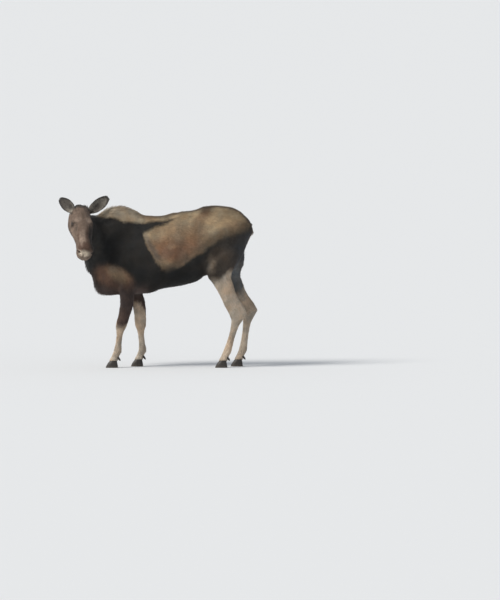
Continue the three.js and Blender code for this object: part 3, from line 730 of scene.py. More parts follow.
for place, longer, higher in LOCKS.values():
    hair += longer * place
    depth += higher * place
tail = ramp(x, 0.985, 1.01) * ramp(z, 1.575, 1.55) * ramp(abs(y - MID), 0.060, 0.040)
hair, depth = toward(hair, TAIL_HAIR, tail), toward(depth, TAIL_RISE, tail)
cup_hair = CUP_HAIR + 16 * MM * ramp(ear_t, 0.45, 0.1)
hair[on_ear] = np.where(ear_inner > 0, cup_hair, EAR_HAIR)[on_ear]
blade = 1.7 * MM + 0.085 * np.minimum(hair, 75 * MM)  # a tuft's width
print("hair from", round(hair.min() / MM), "to", round(hair.max() / MM), "mm long")

# %% How dense it is, and where it is bare
HAIR_LINE, EAR_SPACING, LIP_GAP = 0.082, 3.6 * MM, 4 * MM
BARE_LID, BARE_NOSTRIL = (26 * MM, 19 * MM), 31 * MM      # reach along and up, and radius
spacing = toward(0.76 * blade + 0.7 * MM, 0.6 * blade + 1.9 * MM, head)
spacing = toward(spacing, 1.05 * blade + 0.5 * MM, leg)
spacing[on_ear] = EAR_SPACING
bare = (z < HAIR_LINE) | (ear_t > 0.965)
bare |= (corners.min(1) >= ear_start) & (ear_t < 0.03)      # inside the skull
bare |= (abs(over_mouth(u, w)) < LIP_GAP) & (u > 0.46) & (head > 0.5)
for way in SIDES.values():
    eye, inner, up, out = eye_axes(way)
    off = local - eye
    bare |= (np.hypot(off @ inner / BARE_LID[0], off @ up / BARE_LID[1]) < 1) & (off @ out > 0)
    bare |= (np.hypot(u - NOSTRIL[0], w - NOSTRIL[1]) < BARE_NOSTRIL) & (v * way > 0.045)
wanted = np.where(bare, 0, areas / spacing ** 2)
REGIONS = ["ears", "face", "crown", "neck", "hump", "shoulder_left", "shoulder_right",
           "flank_left", "flank_right", "rump_left", "rump_right", "forelegs", "hindlegs"]
left = y < MID
region = np.where(x > 0.42, np.where(left, 9, 10),
                  np.where(x > -0.16, np.where(left, 7, 8), np.where(left, 5, 6)))
region[(x < -0.16) & (z > 1.58)] = 4
region[neckness(x, y, z) < -0.56] = 3
region[leg > 0.5] = np.where(x[leg > 0.5] < 0.2, 11, 12)
region[head > 0.5] = np.where(u[head > 0.5] > 0.24, 1, 2)
region[on_ear] = 0
print("tufts wanted:", int(wanted.sum()))

# %% One tuft's plan
# Rows of (t along the tuft, across, up): a short hair is a bent blade with a point at each end,
# a long one has two rings between its points.
SHORT = [(0.0, 0.0, 0.0), (0.42, -0.5, 0.0), (0.42, 0.5, 0.0), (0.48, 0.0, 0.42), (1.0, 0.0, 0.0)]
SHORT_FACES = [(0, 2, 1), (0, 1, 3), (0, 3, 2), (4, 1, 2), (4, 3, 1), (4, 2, 3)]
LONG = [(0.0, 0.0, 0.0), (0.28, -0.45, 0.0), (0.28, 0.45, 0.0), (0.30, 0.0, 0.40),
        (0.66, -0.42, 0.0), (0.66, 0.42, 0.0), (0.70, 0.0, 0.36), (1.0, 0.0, 0.0)]
LONG_FACES = [(0, 2, 1), (0, 1, 3), (0, 3, 2), (1, 2, 5), (1, 5, 4), (3, 1, 4), (3, 4, 6),
              (2, 3, 6), (2, 6, 5), (7, 4, 5), (7, 6, 4), (7, 5, 6)]
PATCH = 0.003                       # how wide a tuft's patch is on the bake map
SOFTNESS, FACE_SOFTNESS = 0.66, 0.84    # how far the shading leans to the skin's own normal
STEEPEST = 0.54                     # the most that a tuft rises, as a share of its length
ROOT_DEPTH = 1.0 * MM
YAW = 0.13                          # radians that tufts stray from the lie, typically
LENGTHS, WIDTHS, RISES = (0.75, 1.2), (0.8, 1.25), (0.85, 1.1)     # shares of the usual
EAR_RISE, CUP_RISE, EAR_RISES = 1.6 * MM, 3.2 * MM, (0.7, 1.1)


def scattered(region_number):
    """Tuft roots on the triangles of one region: triangle, place in it."""
    total = np.where(region == region_number, wanted, 0).cumsum()
    count = int(total[-1])
    picks = (np.arange(count) + rng.random(count)) * total[-1] / max(count, 1)
    triangle = np.minimum(np.searchsorted(total, picks), len(total) - 1)
    r, s = rng.random(count), rng.random(count)
    flip = r + s > 1
    r, s = np.where(flip, (1 - r, 1 - s), (r, s))
    return triangle, np.stack([1 - r - s, r, s], 1)


def unwrapped_roots(region_number, triangle, weights):
    """Each root's place on an unwrap of its own region of the hide."""
    chosen = region == region_number
    bm = bmesh.new()
    bm.from_mesh(skin)
    bmesh.ops.delete(bm, geom=[f for f, keep in zip(bm.faces, chosen) if not keep],
                     context="FACES")
    patch = modelled("patch", bm)
    patch_mesh = patch.data
    bpy.ops.object.select_all(action="DESELECT")
    patch.select_set(True)
    bpy.context.view_layer.objects.active = patch
    bpy.ops.object.mode_set(mode="EDIT")
    bpy.ops.mesh.select_all(action="SELECT")
    bpy.ops.uv.smart_project(angle_limit=math.radians(66), island_margin=0.004)
    bpy.ops.object.mode_set(mode="OBJECT")
    flat = np.empty(len(patch_mesh.loops) * 2, np.float32)
    patch_mesh.uv_layers.active.uv.foreach_get("vector", flat)
    bpy.data.objects.remove(patch)
    bpy.data.meshes.remove(patch_mesh)
    place = np.cumsum(chosen) - 1
    return (flat.reshape(-1, 3, 2)[place[triangle]] * weights[:, :, None]).sum(1)


def give(mesh, label, values):
    """A point attribute of the mesh: one number to a point, or a direction."""
    kind, pin = ("FLOAT", "value") if np.ndim(values) == 1 else ("FLOAT_VECTOR", "vector")
    mesh.attributes.new(label, kind, "POINT").data.foreach_set(
        pin, values.astype(np.float32).ravel())


# %% All the tufts of a region as one mesh
def tufts(number, name):
    triangle, weights = scattered(number)
    count = len(triangle)
    corner = corners[triangle]
    root = (skin_points[corner] * weights[:, :, None]).sum(1)
    normal = unit((skin_normals[corner] * weights[:, :, None]).sum(1))
    in_cup = ear_inner[triangle]
    lie = lie_of_coat(root, normal)
    if name == "ears":
        lie = laid(unit(ear_way[triangle] + 0.45 * normal * in_cup[:, None]), normal)
    yaw = rng.normal(0, YAW, count)[:, None]
    lie = lie * np.cos(yaw) + np.cross(normal, lie) * np.sin(yaw)
    side = np.cross(normal, lie)
    length = hair[triangle] * rng.uniform(*LENGTHS, count)
    width = blade[triangle] * rng.uniform(*WIDTHS, count)
    rise = np.minimum(depth[triangle], STEEPEST * length) * rng.uniform(*RISES, count)
    if name == "ears":
        rise = np.where(in_cup > 0, CUP_RISE, EAR_RISE) * rng.uniform(*EAR_RISES, count)
    plan, plan_faces = (LONG, LONG_FACES) if name in ("neck", "hump") else (SHORT, SHORT_FACES)
    plan, plan_faces = np.array(plan), np.array(plan_faces)
    t, across, up = plan.T
    height = rise[:, None] * t ** 0.85 + width[:, None] * up - ROOT_DEPTH
    points = (root[:, None] + lie[:, None] * (length[:, None] * t)[..., None]
              + side[:, None] * (width[:, None] * across)[..., None]
              + normal[:, None] * height[..., None])
    blade_normal = (normal[:, None] * (0.35 + up)[None, :, None]
                    + side[:, None] * (1.5 * across)[None, :, None])
    softness = FACE_SOFTNESS if name in ("face", "crown") else SOFTNESS
    shade = unit(softness * normal[:, None] + (1 - softness) * unit(blade_normal))
    faces = plan_faces[None] + (np.arange(count) * len(plan))[:, None, None]
    mesh = bpy.data.meshes.new("coat_" + name)
    mesh.vertices.add(count * len(plan))
    mesh.vertices.foreach_set("co", points.astype(np.float32).ravel())
    mesh.loops.add(faces.size)
    mesh.loops.foreach_set("vertex_index", faces.astype(np.int32).ravel())
    mesh.polygons.add(faces.shape[0] * faces.shape[1])
    mesh.polygons.foreach_set("loop_start", np.arange(0, faces.size, 3, dtype=np.int32))
    mesh.update(calc_edges=True)
    mesh.polygons.foreach_set("use_smooth", [True] * len(mesh.polygons))
    mesh.normals_split_custom_set_from_vertices(shade.reshape(-1, 3))
    give(mesh, "tip", np.tile(t, count))
    give(mesh, "tone", np.repeat(rng.random(count), len(plan)))
    give(mesh, "lie", np.repeat(lie, len(plan), axis=0))
    centre = unwrapped_roots(number, triangle, weights)
    spot = centre[:, None] + PATCH * np.stack([across + 0.12 * up, t + 0.3 * up], 1)[None]
    mesh.uv_layers.new(name="OFBake").uv.foreach_set("vector", np.clip(spot, 0, 1)[
        np.arange(count)[:, None, None], plan_faces[None]].astype(np.float32).ravel())
    print(mesh.name, count, "tufts,", len(mesh.polygons), "triangles")
    return linked("coat_" + name, mesh)


# %% Grow the coat
coat = [tufts(number, name) for number, name in enumerate(REGIONS)]
print("coat:", sum(len(piece.data.polygons) for piece in coat), "triangles")

# %% [markdown]
# ## Markings
# Skin and coat carry one pattern, so it is built once, as a node group on Object coordinates.
# A late-winter cow is pale grey-brown over hump, back, flank and rump, where the sun bleaches the
# coat, nearly black on neck, shoulder and belly, warm brown on the brisket, and pale grey on the
# lower legs. The dark is partly her own coat and partly painted shade: the borders of the pale
# follow where light falls on her upper side, and painted shade runs back under the hump. Curves
# over her length give the heights where dark turns to pale, and soft ellipsoids lay the smaller
# patches, some of them painted shade or painted highlight. Noise frays every border.

# %% Small helpers for node trees
LINE_LONG, LINE_HIGH = 2.4, 2.0         # the length and height that a curve's square stands for


class Tree:
    """Adds nodes to a tree and wires them by plain calls."""

    def __init__(self, tree):
        self.tree = tree

    def wire(self, source, target):
        if isinstance(source, bpy.types.NodeSocket):
            self.tree.links.new(source, target)
        else:
            target.default_value = source

    def add(self, kind, *sources, pins=(), **settings):
        """A node with these settings, its first inputs filled in order and the rest by name."""
        node = self.tree.nodes.new("ShaderNode" + kind)
        for key, value in settings.items():
            setattr(node, key, value)
        for source, target in zip(sources, node.inputs):
            self.wire(source, target)
        for label, source in dict(pins).items():
            self.wire(source, node.inputs[label])
        return node

    def math(self, operation, *inputs):
        return self.add("Math", *inputs, operation=operation).outputs[0]

    def times(self, first, *others):
        for other in others:
            first = self.math("MULTIPLY", first, other)
        return first

    def vector(self, operation, *inputs, **pins):
        node = self.add("VectorMath", *inputs, pins=pins, operation=operation)
        return node.outputs["Value" if operation in ("LENGTH", "DOT_PRODUCT") else "Vector"]

    def join(self, *parts):
        """Three values as one vector, which serves as a colour too."""
        return self.add("CombineXYZ", *parts).outputs[0]

    def step(self, value, low, high, start=0.0, end=1.0):
        """A smooth step of value between low and high."""
        return self.add("MapRange", value, low, high, start, end,
                        interpolation_type="SMOOTHSTEP").outputs["Result"]

    def mix(self, factor, under, over, blend="MIX"):
        node = self.add("Mix", factor, data_type="RGBA", blend_type=blend)
        for source, target in zip((under, over), (s for s in node.inputs if s.type == "RGBA")):
            self.wire((*source, 1) if isinstance(source, tuple) else source, target)
        return next(s for s in node.outputs if s.type == "RGBA")

    def layers(self, colour, *coats):
        """The colour under one (mask, tint) after another."""
        for mask, tint in coats:
            colour = self.mix(mask, colour, tint)
        return colour

    def shaded(self, colour, *tones):
        """The colour times one grey tone, or times a tone to each of red, green and blue."""
        return self.mix(1.0, colour, self.join(*(tones * 3)[:3]), "MULTIPLY")

    def noise(self, place, scale, detail=2.0, roughness=0.5, out="Fac"):
        return self.add("TexNoise", pins={"Vector": place, "Scale": scale, "Detail": detail,
                                          "Roughness": roughness}).outputs[out]

    def cloud(self, place, scale, detail, roughness, *limits):
        """Noise through a smooth step with these limits."""
        return self.step(self.noise(place, scale, detail, roughness), *limits)

    def jitter(self, place, scale, detail, size):
        """A small offset that wanders round zero."""
        wander = self.noise(place, scale, detail, out="Color")
        return self.vector("MULTIPLY", self.vector("SUBTRACT", wander, (0.5,) * 3), (size,) * 3)

    def spot(self, place, middle, reach, outer=1.25, inner=0.35, turn=0.0):
        """1 in the middle of a soft ellipsoid, 0 outside it."""
        there = self.add("Mapping", vector_type="TEXTURE", pins={
            "Vector": place, "Location": middle, "Rotation": (0, turn, 0), "Scale": reach})
        return self.step(self.vector("LENGTH", there.outputs[0]), outer, inner)

    def above_line(self, along, high, stations):
        """The height over a curve of (x, z) stations, all in metres."""
        curve = self.add("FloatCurve", pins={
            "Value": self.math("MULTIPLY_ADD", along, 1 / LINE_LONG, 0.5)})
        points = curve.mapping.curves[0].points
        for k, (x, z) in enumerate(stations):
            place = (x / LINE_LONG + 0.5, z / LINE_HIGH)
            if k < len(points):
                points[k].location = place
            else:
                points.new(*place)
        curve.mapping.use_clip = False
        curve.mapping.update()
        return self.math("MULTIPLY_ADD", curve.outputs["Value"], -LINE_HIGH, high)

    def here(self):
        return self.add("TexCoord").outputs["Object"]

    def kept(self, label, pin="Fac"):
        """A value that is kept on the mesh as an attribute."""
        return self.add("Attribute", attribute_name=label).outputs[pin]

    def use(self, group, **pins):
        return self.add("Group", node_tree=group, pins=pins).outputs

    def bump(self, shader, height, strength, distance):
        node = self.add("Bump", pins={"Strength": strength, "Distance": distance,
                                      "Height": height})
        self.wire(node.outputs["Normal"], shader.inputs["Normal"])


def new_group(name, inputs, outputs):
    """A shader node group, its tree helper, what it is given and what it gives."""
    group = bpy.data.node_groups.new(name, "ShaderNodeTree")
    for way, sockets in (("INPUT", inputs), ("OUTPUT", outputs)):
        for label, kind in sockets.items():
            group.interface.new_socket(name=label, in_out=way, socket_type="NodeSocket" + kind)
    given, result = (group.nodes.new("NodeGroup" + way) for way in ("Input", "Output"))
    return group, Tree(group), given.outputs, result.inputs


# %% Colours of the coat, as linear light
BLEACHED = (0.385, 0.302, 0.195)        # hump, back and rump: olive grey-brown
TAN = (0.340, 0.232, 0.145)             # flank
RUST = (0.215, 0.118, 0.072)            # warm patches low on the flank
DARK_COAT_AND_SHADE = (0.020, 0.019, 0.018)            # neck, shoulder and belly: their own dark coat, deepened as painted shade
BLACK_SHADE = (0.010, 0.010, 0.010)           # painted shade, the darkest: under the belly and on the shoulder
NECK_GREY = (0.042, 0.041, 0.036)
# painted shade on the thigh
FRINGE_GREY = (0.150, 0.122, 0.098)     # front edge of the pale flank
THIGH_SHADE = (0.058, 0.046, 0.036)
SKY_BLUE_SHADE = (0.050, 0.052, 0.056)       # back of the thighs: painted shade, blue from the sky
BRISKET_BROWN = (0.135, 0.080, 0.056)
# painted highlight on the point of the shoulder
BRISKET_HIGHLIGHT = (0.290, 0.215, 0.140)
DORSAL = (0.060, 0.044, 0.034)
# painted shade in the hollow before the hip bone
HIP_HOLLOW_SHADE = (0.125, 0.074, 0.046)
UMBER = (0.080, 0.056, 0.042)           # where the pale flank meets the dark belly
HUMP_GREY = (0.285, 0.245, 0.190)
LEG_PALE = (0.530, 0.440, 0.345)
LEG_DARK = (0.078, 0.055, 0.048)
GASKIN_SHADE = (0.185, 0.190, 0.190)          # inner side of the hind leg: painted shade, cool grey
FACE_BROWN = (0.175, 0.125, 0.095)
FACE_PALE = (0.330, 0.250, 0.195)
MUZZLE_RUST = (0.108, 0.060, 0.042)
NOSE_CREAM = (0.740, 0.620, 0.480)
CHEEK_DARK = (0.062, 0.045, 0.034)
CHEEK_SHADE = (0.036, 0.027, 0.021)
NAKED_DARK = (0.020, 0.015, 0.013)
EAR_GREY = (0.110, 0.098, 0.082)
EAR_RIM = (0.035, 0.032, 0.030)
EAR_INSIDE = (0.185, 0.168, 0.142)
EAR_PALE = (0.340, 0.300, 0.250)
# painted shade in the hollow of an ear's cup, and random dark flecks
EAR_FLECK_AND_SHADE = (0.045, 0.038, 0.033)

# %% The pattern of the trunk
# Heights where the dark below turns to pale. They follow partly her own coat and partly where
# light gives way to painted shade on her side; the wedge line draws painted shade that runs back
# under the hump.
HUMP_LINE = [(-1.2, 1.66), (-0.64, 1.655), (-0.50, 1.648), (-0.37, 1.608), (-0.24, 1.600),
             (-0.14, 1.604), (0.06, 1.618), (0.40, 1.65), (1.2, 1.80)]
FLANK_LINE = [(-1.2, 1.9), (-0.24, 1.64), (-0.19, 1.50), (-0.14, 1.39), (-0.08, 1.270),
              (0.00, 1.160), (0.07, 1.085), (0.22, 1.13), (0.40, 1.25), (0.52, 1.335),
              (0.62, 1.42), (0.74, 1.50), (0.85, 1.525), (1.03, 1.58), (1.2, 1.67)]
SHADE_WEDGE_LINE = [(-1.2, 1.42), (-0.24, 1.455), (-0.15, 1.495), (-0.05, 1.535), (0.06, 1.570),
              (0.13, 1.60), (0.19, 1.66), (0.26, 1.95), (1.2, 1.95)]
PATCHES = [          # colour, middle, reach, strength, turn: soft ellipsoids on both sides
    (TAN, (0.30, 1.40), (0.36, 0.24), 0.8, 0.0),
    (RUST, (0.12, 1.28), (0.27, 0.16), 0.95, 0.25),
    (RUST, (0.34, 1.35), (0.16, 0.12), 0.70, 0.0),
    (TAN, (0.13, 1.34), (0.08, 0.035), 0.6, 0.0),
    (BLEACHED, (0.12, 1.125), (0.13, 0.045), 0.25, 0.3),
    # painted shade in the hollow before the hip bone
    (HIP_HOLLOW_SHADE, (0.52, 1.75), (0.080, 0.11), 0.80, 0.0),
    (HIP_HOLLOW_SHADE, (0.45, 1.57), (0.080, 0.22), 0.55, 0.35),
    (BLEACHED, (0.63, 1.56), (0.10, 0.14), 0.6, 0.0),
    (RUST, (0.92, 1.55), (0.13, 0.05), 0.25, 0.4),
    (BRISKET_BROWN, (-0.49, 0.97), (0.25, 0.155), 1.7, 0.45),
    # painted highlight along the point of the shoulder
    (BRISKET_HIGHLIGHT, (-0.455, 1.035), (0.16, 0.085), 0.80, 0.5),
    # painted shade under the belly and on the shoulder
    (BLACK_SHADE, (0.12, 1.02), (0.35, 0.12), 0.80, 0.0),
    (BLACK_SHADE, (-0.53, 1.28), (0.13, 0.18), 0.70, 0.0),
    (NECK_GREY, (-0.68, 1.36), (0.07, 0.20), 0.60, 0.0),
    (FRINGE_GREY, (-0.080, 1.325), (0.050, 0.20), 0.90, -0.54),
    (HUMP_GREY, (-0.45, 1.72), (0.42, 0.16), 0.85, 0.0),
    (LEG_PALE, (0.57, 1.14), (0.06, 0.13), 0.16, 0.0),
]
ON_PALE = (TAN, RUST, HIP_HOLLOW_SHADE, BLEACHED, HUMP_GREY, FRINGE_GREY)     # only where she is pale
markings, tree, given, result = new_group("markings", {"Vector": "Vector"}, {"Color": "Color"})
place = given["Vector"]
moved = tree.vector("ADD", place, tree.vector("ADD", tree.jitter(place, 5.5, 3.0, 0.07),
                                              tree.jitter(place, 38.0, 2.0, 0.035)))
along, across, high = tree.add("SeparateXYZ", moved).outputs
low_edge = tree.above_line(along, high, FLANK_LINE)
blur = tree.step(along, 0.40, 0.75, 0.05, 0.10)          # the haunch fades more slowly
flank = tree.times(tree.step(low_edge, tree.times(blur, -1.0), blur),
                   tree.step(tree.above_line(along, high, SHADE_WEDGE_LINE), 0.03, -0.03))
hump = tree.step(tree.above_line(along, high, HUMP_LINE), -0.025, 0.03)
pale = tree.times(tree.math("MAXIMUM", hump, flank), tree.step(along, -0.72, -0.60))
edge = tree.step(low_edge, -0.02, -0.16)          # painted shade, darkest just under the pale of the rump
# painted shade over the thigh, and bluer over its back
thigh = tree.times(tree.step(along, 0.40, 0.62), tree.step(high, 0.95, 1.05), edge)
rear_shade = tree.times(tree.step(along, 0.70, 0.95), tree.step(high, 0.9, 1.2), edge)
colour = tree.layers(DARK_COAT_AND_SHADE, (thigh, THIGH_SHADE), (rear_shade, SKY_BLUE_SHADE), (pale, BLEACHED))
for tint, (x, z), (reach_x, reach_z), strength, turn in PATCHES:
    mask = tree.spot(moved, (x, MID, z), (reach_x, 10.0, reach_z), 1.25, 0.25, turn)
    if tint in ON_PALE:
        mask = tree.times(mask, pale)
    colour = tree.mix(tree.times(mask, strength), colour, tint)
fringe = tree.times(tree.step(low_edge, 0.13, 0.0), tree.step(along, -0.06, 0.10), pale, 0.75)
aside = tree.math("ABSOLUTE", tree.math("SUBTRACT", across, MID))
hollow_back = tree.step(tree.math("ABSOLUTE", tree.math("SUBTRACT", along, 0.02)), 0.32, 0.08)
wide = tree.math("MULTIPLY_ADD", hollow_back, 0.055, 0.085)
stripe = tree.times(tree.step(aside, wide, 0.03), tree.step(high, 1.45, 1.55),
                    tree.step(along, -0.30, -0.10), 0.85)
under_tail = tree.spot(moved, (1.00, MID, 1.41), (0.14, 0.042, 0.105), 1.35, 0.2)
colour = tree.layers(colour, (fringe, UMBER), (stripe, DORSAL),
                     (tree.times(under_tail, 0.75), LEG_PALE))

# %% The legs, and weathered hair, which is nowhere of one tone
inner_side = tree.step(aside, 0.190, 0.085)       # the inner side of a foreleg is pale higher up; a hind leg's is painted shade lower down
fore = tree.step(along, 0.12, 0.0)
change = tree.math("MULTIPLY_ADD", fore, 0.52, -0.26)      # up in front; down behind, as painted shade
shin_top = tree.math("MULTIPLY_ADD", fore, -0.53, 0.98)
shin_top = tree.math("MULTIPLY_ADD", inner_side, change, shin_top)
shin_top = tree.math("MULTIPLY_ADD", tree.step(along, 0.66, 0.80), 0.09, shin_top)
upper = tree.times(tree.step(along, -0.06, -0.18), tree.step(high, 0.98, 0.82))
# painted shade: the inner side of the hind leg, cool grey up to the thigh
gaskin_shade = tree.times(inner_side, tree.step(along, 0.5, 0.6), tree.step(high, 1.20, 1.02))
leg_place = tree.math("MAXIMUM", tree.step(along, 0.02, -0.06), tree.step(along, 0.44, 0.52))
below_top = tree.step(tree.math("SUBTRACT", high, shin_top), 0.05, -0.06)
colour = tree.layers(colour, (upper, LEG_DARK), (gaskin_shade, GASKIN_SHADE),
                     (tree.times(below_top, leg_place), LEG_PALE))
worn = tree.times(tree.cloud(place, 3.4, 4.0, 0.6, 0.25, 0.75, 0.74, 1.24),
                  tree.cloud(place, 14.0, 3.0, 0.6, 0.3, 0.7, 0.88, 1.13))
elsewhere = tree.vector("ADD", place, (7.0, 3.0, 5.0))
warm = tree.cloud(elsewhere, 7.0, 3.0, 0.55, 0.3, 0.7, 0.955, 1.10)
tree.wire(tree.shaded(colour, tree.times(worn, warm), worn, tree.math("DIVIDE", worn, warm)),
          result["Color"])
print("markings:", len(markings.nodes), "nodes")

# %% The pattern of the face, in the head's own axes
FACE_PATCHES = [                  # colour, middle (u, v, w), reach, strength, on both sides
    (FACE_PALE, (0.19, 0.065, 0.10), (0.045, 0.045, 0.05), 0.85),       # brows
    (FACE_PALE, (0.41, 0.0, 0.07), (0.12, 0.028, 0.05), 0.55),          # painted highlight on the bridge of the nose
    (FACE_PALE, (0.33, 0.10, -0.02), (0.13, 0.035, 0.05), 0.45),        # flat of the cheek
    (MUZZLE_RUST, (0.40, 0.045, 0.07), (0.15, 0.018, 0.06), 0.75),      # beside the bridge
    (MUZZLE_RUST, (0.535, 0.03, 0.05), (0.065, 0.085, 0.07), 0.85),     # above the nose
    (NOSE_CREAM, (0.595, 0.0, -0.012), (0.052, 0.084, 0.048), 1.00),    # nose
    (FACE_PALE, (0.565, 0.090, -0.035), (0.040, 0.030, 0.040), 0.60),   # its wings
    (MUZZLE_RUST, (0.605, 0.0, -0.040), (0.030, 0.012, 0.035), 0.70),   # its furrow
    (CHEEK_DARK, (0.16, 0.13, -0.14), (0.22, 0.08, 0.09), 0.75),        # jaw
    (CHEEK_DARK, (0.210, 0.110, 0.030), (0.046, 0.04, 0.036), 0.95),    # round the eye
    (CHEEK_DARK, (0.218, 0.085, 0.055), (0.016, 0.042, 0.03), 0.9),     # the eye's line
    (CHEEK_DARK, (0.13, 0.0, 0.11), (0.07, 0.018, 0.05), 0.35),         # between the brows
    (CHEEK_DARK, (0.27, 0.075, 0.05), (0.06, 0.016, 0.05), 0.45),       # below the brows
    (CHEEK_DARK, (-0.02, 0.0, 0.10), (0.05, 0.09, 0.05), 0.60),         # poll
    (CHEEK_DARK, (0.01, 0.090, 0.072), (0.030, 0.022, 0.030), 1.0),     # painted shade before each ear
    (CHEEK_DARK, (0.06, 0.112, 0.040), (0.035, 0.022, 0.030), 1.0),
    (FACE_PALE, (0.58, 0.0, -0.095), (0.09, 0.08, 0.050), 0.95),        # chin
]
LEFT_PATCHES = [                  # painted shade: her left cheek and muzzle, turned from the light, are darker than her right ones
    (CHEEK_SHADE, (0.42, 0.13, 0.02), (0.22, 0.125, 0.14), 1.6),
    (FACE_PALE, (0.44, -0.055, 0.07), (0.13, 0.020, 0.05), 0.8),        # painted highlight on the bridge, a little to her right
]
face_marks, tree, given, result = new_group(
    "face_markings", {"Vector": "Vector", "Body": "Color"}, {"Color": "Color"})
from_origin = tree.vector("SUBTRACT", given["Vector"], tuple(HEAD_ORIGIN))
parts = [tree.vector("DOT_PRODUCT", from_origin, tuple(axis)) for axis in HEAD_AXES.T]
forward, leftward, high = parts
aslant = tree.math("MULTIPLY_ADD", tree.step(forward, 0.15, 0.5), 0.03, leftward)
folded = tree.join(forward, tree.math("ABSOLUTE", aslant), high)
blot = tree.jitter(folded, 30.0, 3.0, 0.03)
both_sides = tree.vector("ADD", folded, blot)
one_side = tree.vector("ADD", tree.join(*parts), blot)
colour = FACE_BROWN
for patches, place in ((FACE_PATCHES, both_sides), (LEFT_PATCHES, one_side)):
    for tint, middle, reach, strength in patches:
        mask = tree.times(tree.spot(place, middle, reach), strength)
        colour = tree.mix(mask, colour, tint)
mouth_line = tree.math("MULTIPLY_ADD", forward, MOUTH[1], -MOUTH[0] - LIP_TIP * MOUTH[1])
lips = tree.math("ABSOLUTE", tree.math("ADD", high, mouth_line))
lips = tree.times(tree.step(lips, 0.006, 0.002), tree.step(forward, 0.445, 0.475))
across = tree.math("ABSOLUTE", leftward)
holes = tree.spot(tree.join(forward, across, high), (NOSTRIL[0], 0.09, NOSTRIL[1]),
                  (0.024, 0.05, 0.018), 1.25, 0.75)
holes = tree.times(holes, tree.step(across, 0.045, 0.055, 0.0, 0.75))
colour = tree.mix(tree.math("MAXIMUM", lips, holes), colour, NAKED_DARK)
colour = tree.shaded(colour, tree.cloud(both_sides, 26.0, 4.0, 0.65, 0.3, 0.7, 0.80, 1.18))
is_head = tree.times(tree.step(forward, -0.06, 0.04), tree.step(high, -0.26, -0.20),
                     tree.step(leftward, 0.165, 0.120))
tree.wire(tree.mix(is_head, given["Body"], colour), result["Color"])
print("face:", len(face_marks.nodes), "nodes")

# %% [markdown]
# ## Hair as a finish
# Seen close, a coat is thousands of streaks along its lie. The streaks come from noise whose
# coordinates are squeezed along the direction kept in each mesh's "lie" attribute. The group
# gives a tone for the colour and a height for the bump, and skin and tufts both use it.

# %% Streaks along the hair
streaks, tree, given, result = new_group(
    "hair_streaks", {"Vector": "Vector", "Lie": "Vector", "Fineness": "Float"},
    {"Tone": "Float", "Height": "Float"})
run = tree.vector("DOT_PRODUCT", given["Vector"], given["Lie"])
back = tree.vector("SCALE", given["Lie"], Scale=tree.times(run, 0.92))
squeezed = tree.vector("SUBTRACT", given["Vector"], back)
grown = tree.vector("SCALE", squeezed, Scale=given["Fineness"])
fine = tree.noise(grown, 1.0, 2.0, 0.6)
coarse = tree.noise(grown, 0.22, 2.0, 0.5)
tree.wire(tree.math("MULTIPLY_ADD", fine, 0.6, tree.times(coarse, 0.4)), result["Tone"])
tree.wire(fine, result["Height"])
print("streaks:", len(streaks.nodes), "nodes")

# %% Hide and coat finishes
EAR_TINTS = {"ear_inside": EAR_INSIDE, "ear_cup_shade": EAR_FLECK_AND_SHADE, "ear_pale": EAR_PALE,
             "ear_rim": EAR_RIM}                  # over the grey of an ear, in this order


def fur_finish(name, is_coat):
    material, shader = new_finish(name, {"Roughness": 0.72, "Specular IOR Level": 0.25,
                                         "Sheen Weight": 0.08, "Sheen Roughness": 0.6})
    tree = Tree(material.node_tree)
    here = tree.here()
    body = tree.use(markings, Vector=here)["Color"]
    face = tree.use(face_marks, Vector=here, Body=body)["Color"]
    hairs = tree.use(streaks, Vector=here, Lie=tree.kept("lie", "Vector"), Fineness=420.0)
    shell = tree.layers(EAR_GREY, *((tree.kept(label), tint) for label, tint in EAR_TINTS.items()),
                        (tree.cloud(here, 55.0, 3.0, 0.6, 0.42, 0.66, 0.0, 0.6), EAR_FLECK_AND_SHADE))
    streaks_and_root_shade = tree.step(hairs["Tone"], 0.30, 0.70, 0.82, 1.16)
    if is_coat:
        # painted shade: each tuft is darker at its root, down among the hairs; its tone also
        # varies at random
        streaks_and_root_shade = tree.times(streaks_and_root_shade, tree.step(tree.kept("tip"), 0.1, 0.9, 0.84, 1.05),
                            tree.step(tree.kept("tone"), 0.0, 1.0, 0.88, 1.12))
    colour = tree.shaded(tree.mix(tree.kept("ear"), face, shell), streaks_and_root_shade)
    tree.wire(colour, shader.inputs["Base Color"])
    tree.bump(shader, hairs["Height"], 0.35 if is_coat else 0.8, 1.5 * MM)
    return material


def give_ear_marks(mesh):
    """Attributes that say where a mesh is an ear, its rim, its inner side, the painted shade in
    its cup and the pale hair at its base.
    """
    points = points_of(mesh)
    t, turn, inner, _ = in_ear(points)
    on = ramp(t, 0.0, 0.08)
    cup = inner * on
    rim = np.maximum(ramp(abs(turn), 0.80, 0.98), ramp(t, 0.86, 0.97)) * ramp(t, 0.14, 0.40)
    # painted shade in the hollow of the cup, more again in the upper cup of her right ear
    deep = 0.95 * cup * ramp(abs(turn - 0.15), 0.70, 0.15) * ramp(t, 0.80, 0.40)
    hers_right = in_head(points)[:, 1] < 0
    deep = np.maximum(deep, 0.75 * cup * hers_right * ramp(t, 0.35, 0.60))
    pale = 0.85 * cup * ramp(t, 0.42, 0.12) * ramp(turn, 0.55, -0.35)
    for label, values in (("ear", on), ("ear_rim", 0.8 * rim), ("ear_inside", cup),
                          ("ear_cup_shade", deep), ("ear_pale", pale)):
        give(mesh, label, values)


give(skin, "lie", lie_of_coat(skin_points, skin_normals))
coat_finish = fur_finish("winter_coat", is_coat=True)
skin.materials.append(fur_finish("short_fur", is_coat=False))
give_ear_marks(skin)
for piece in coat:
    piece.data.materials.append(coat_finish)
    give_ear_marks(piece.data)
print("finishes:", skin.materials[0].name, "and", coat_finish.name)

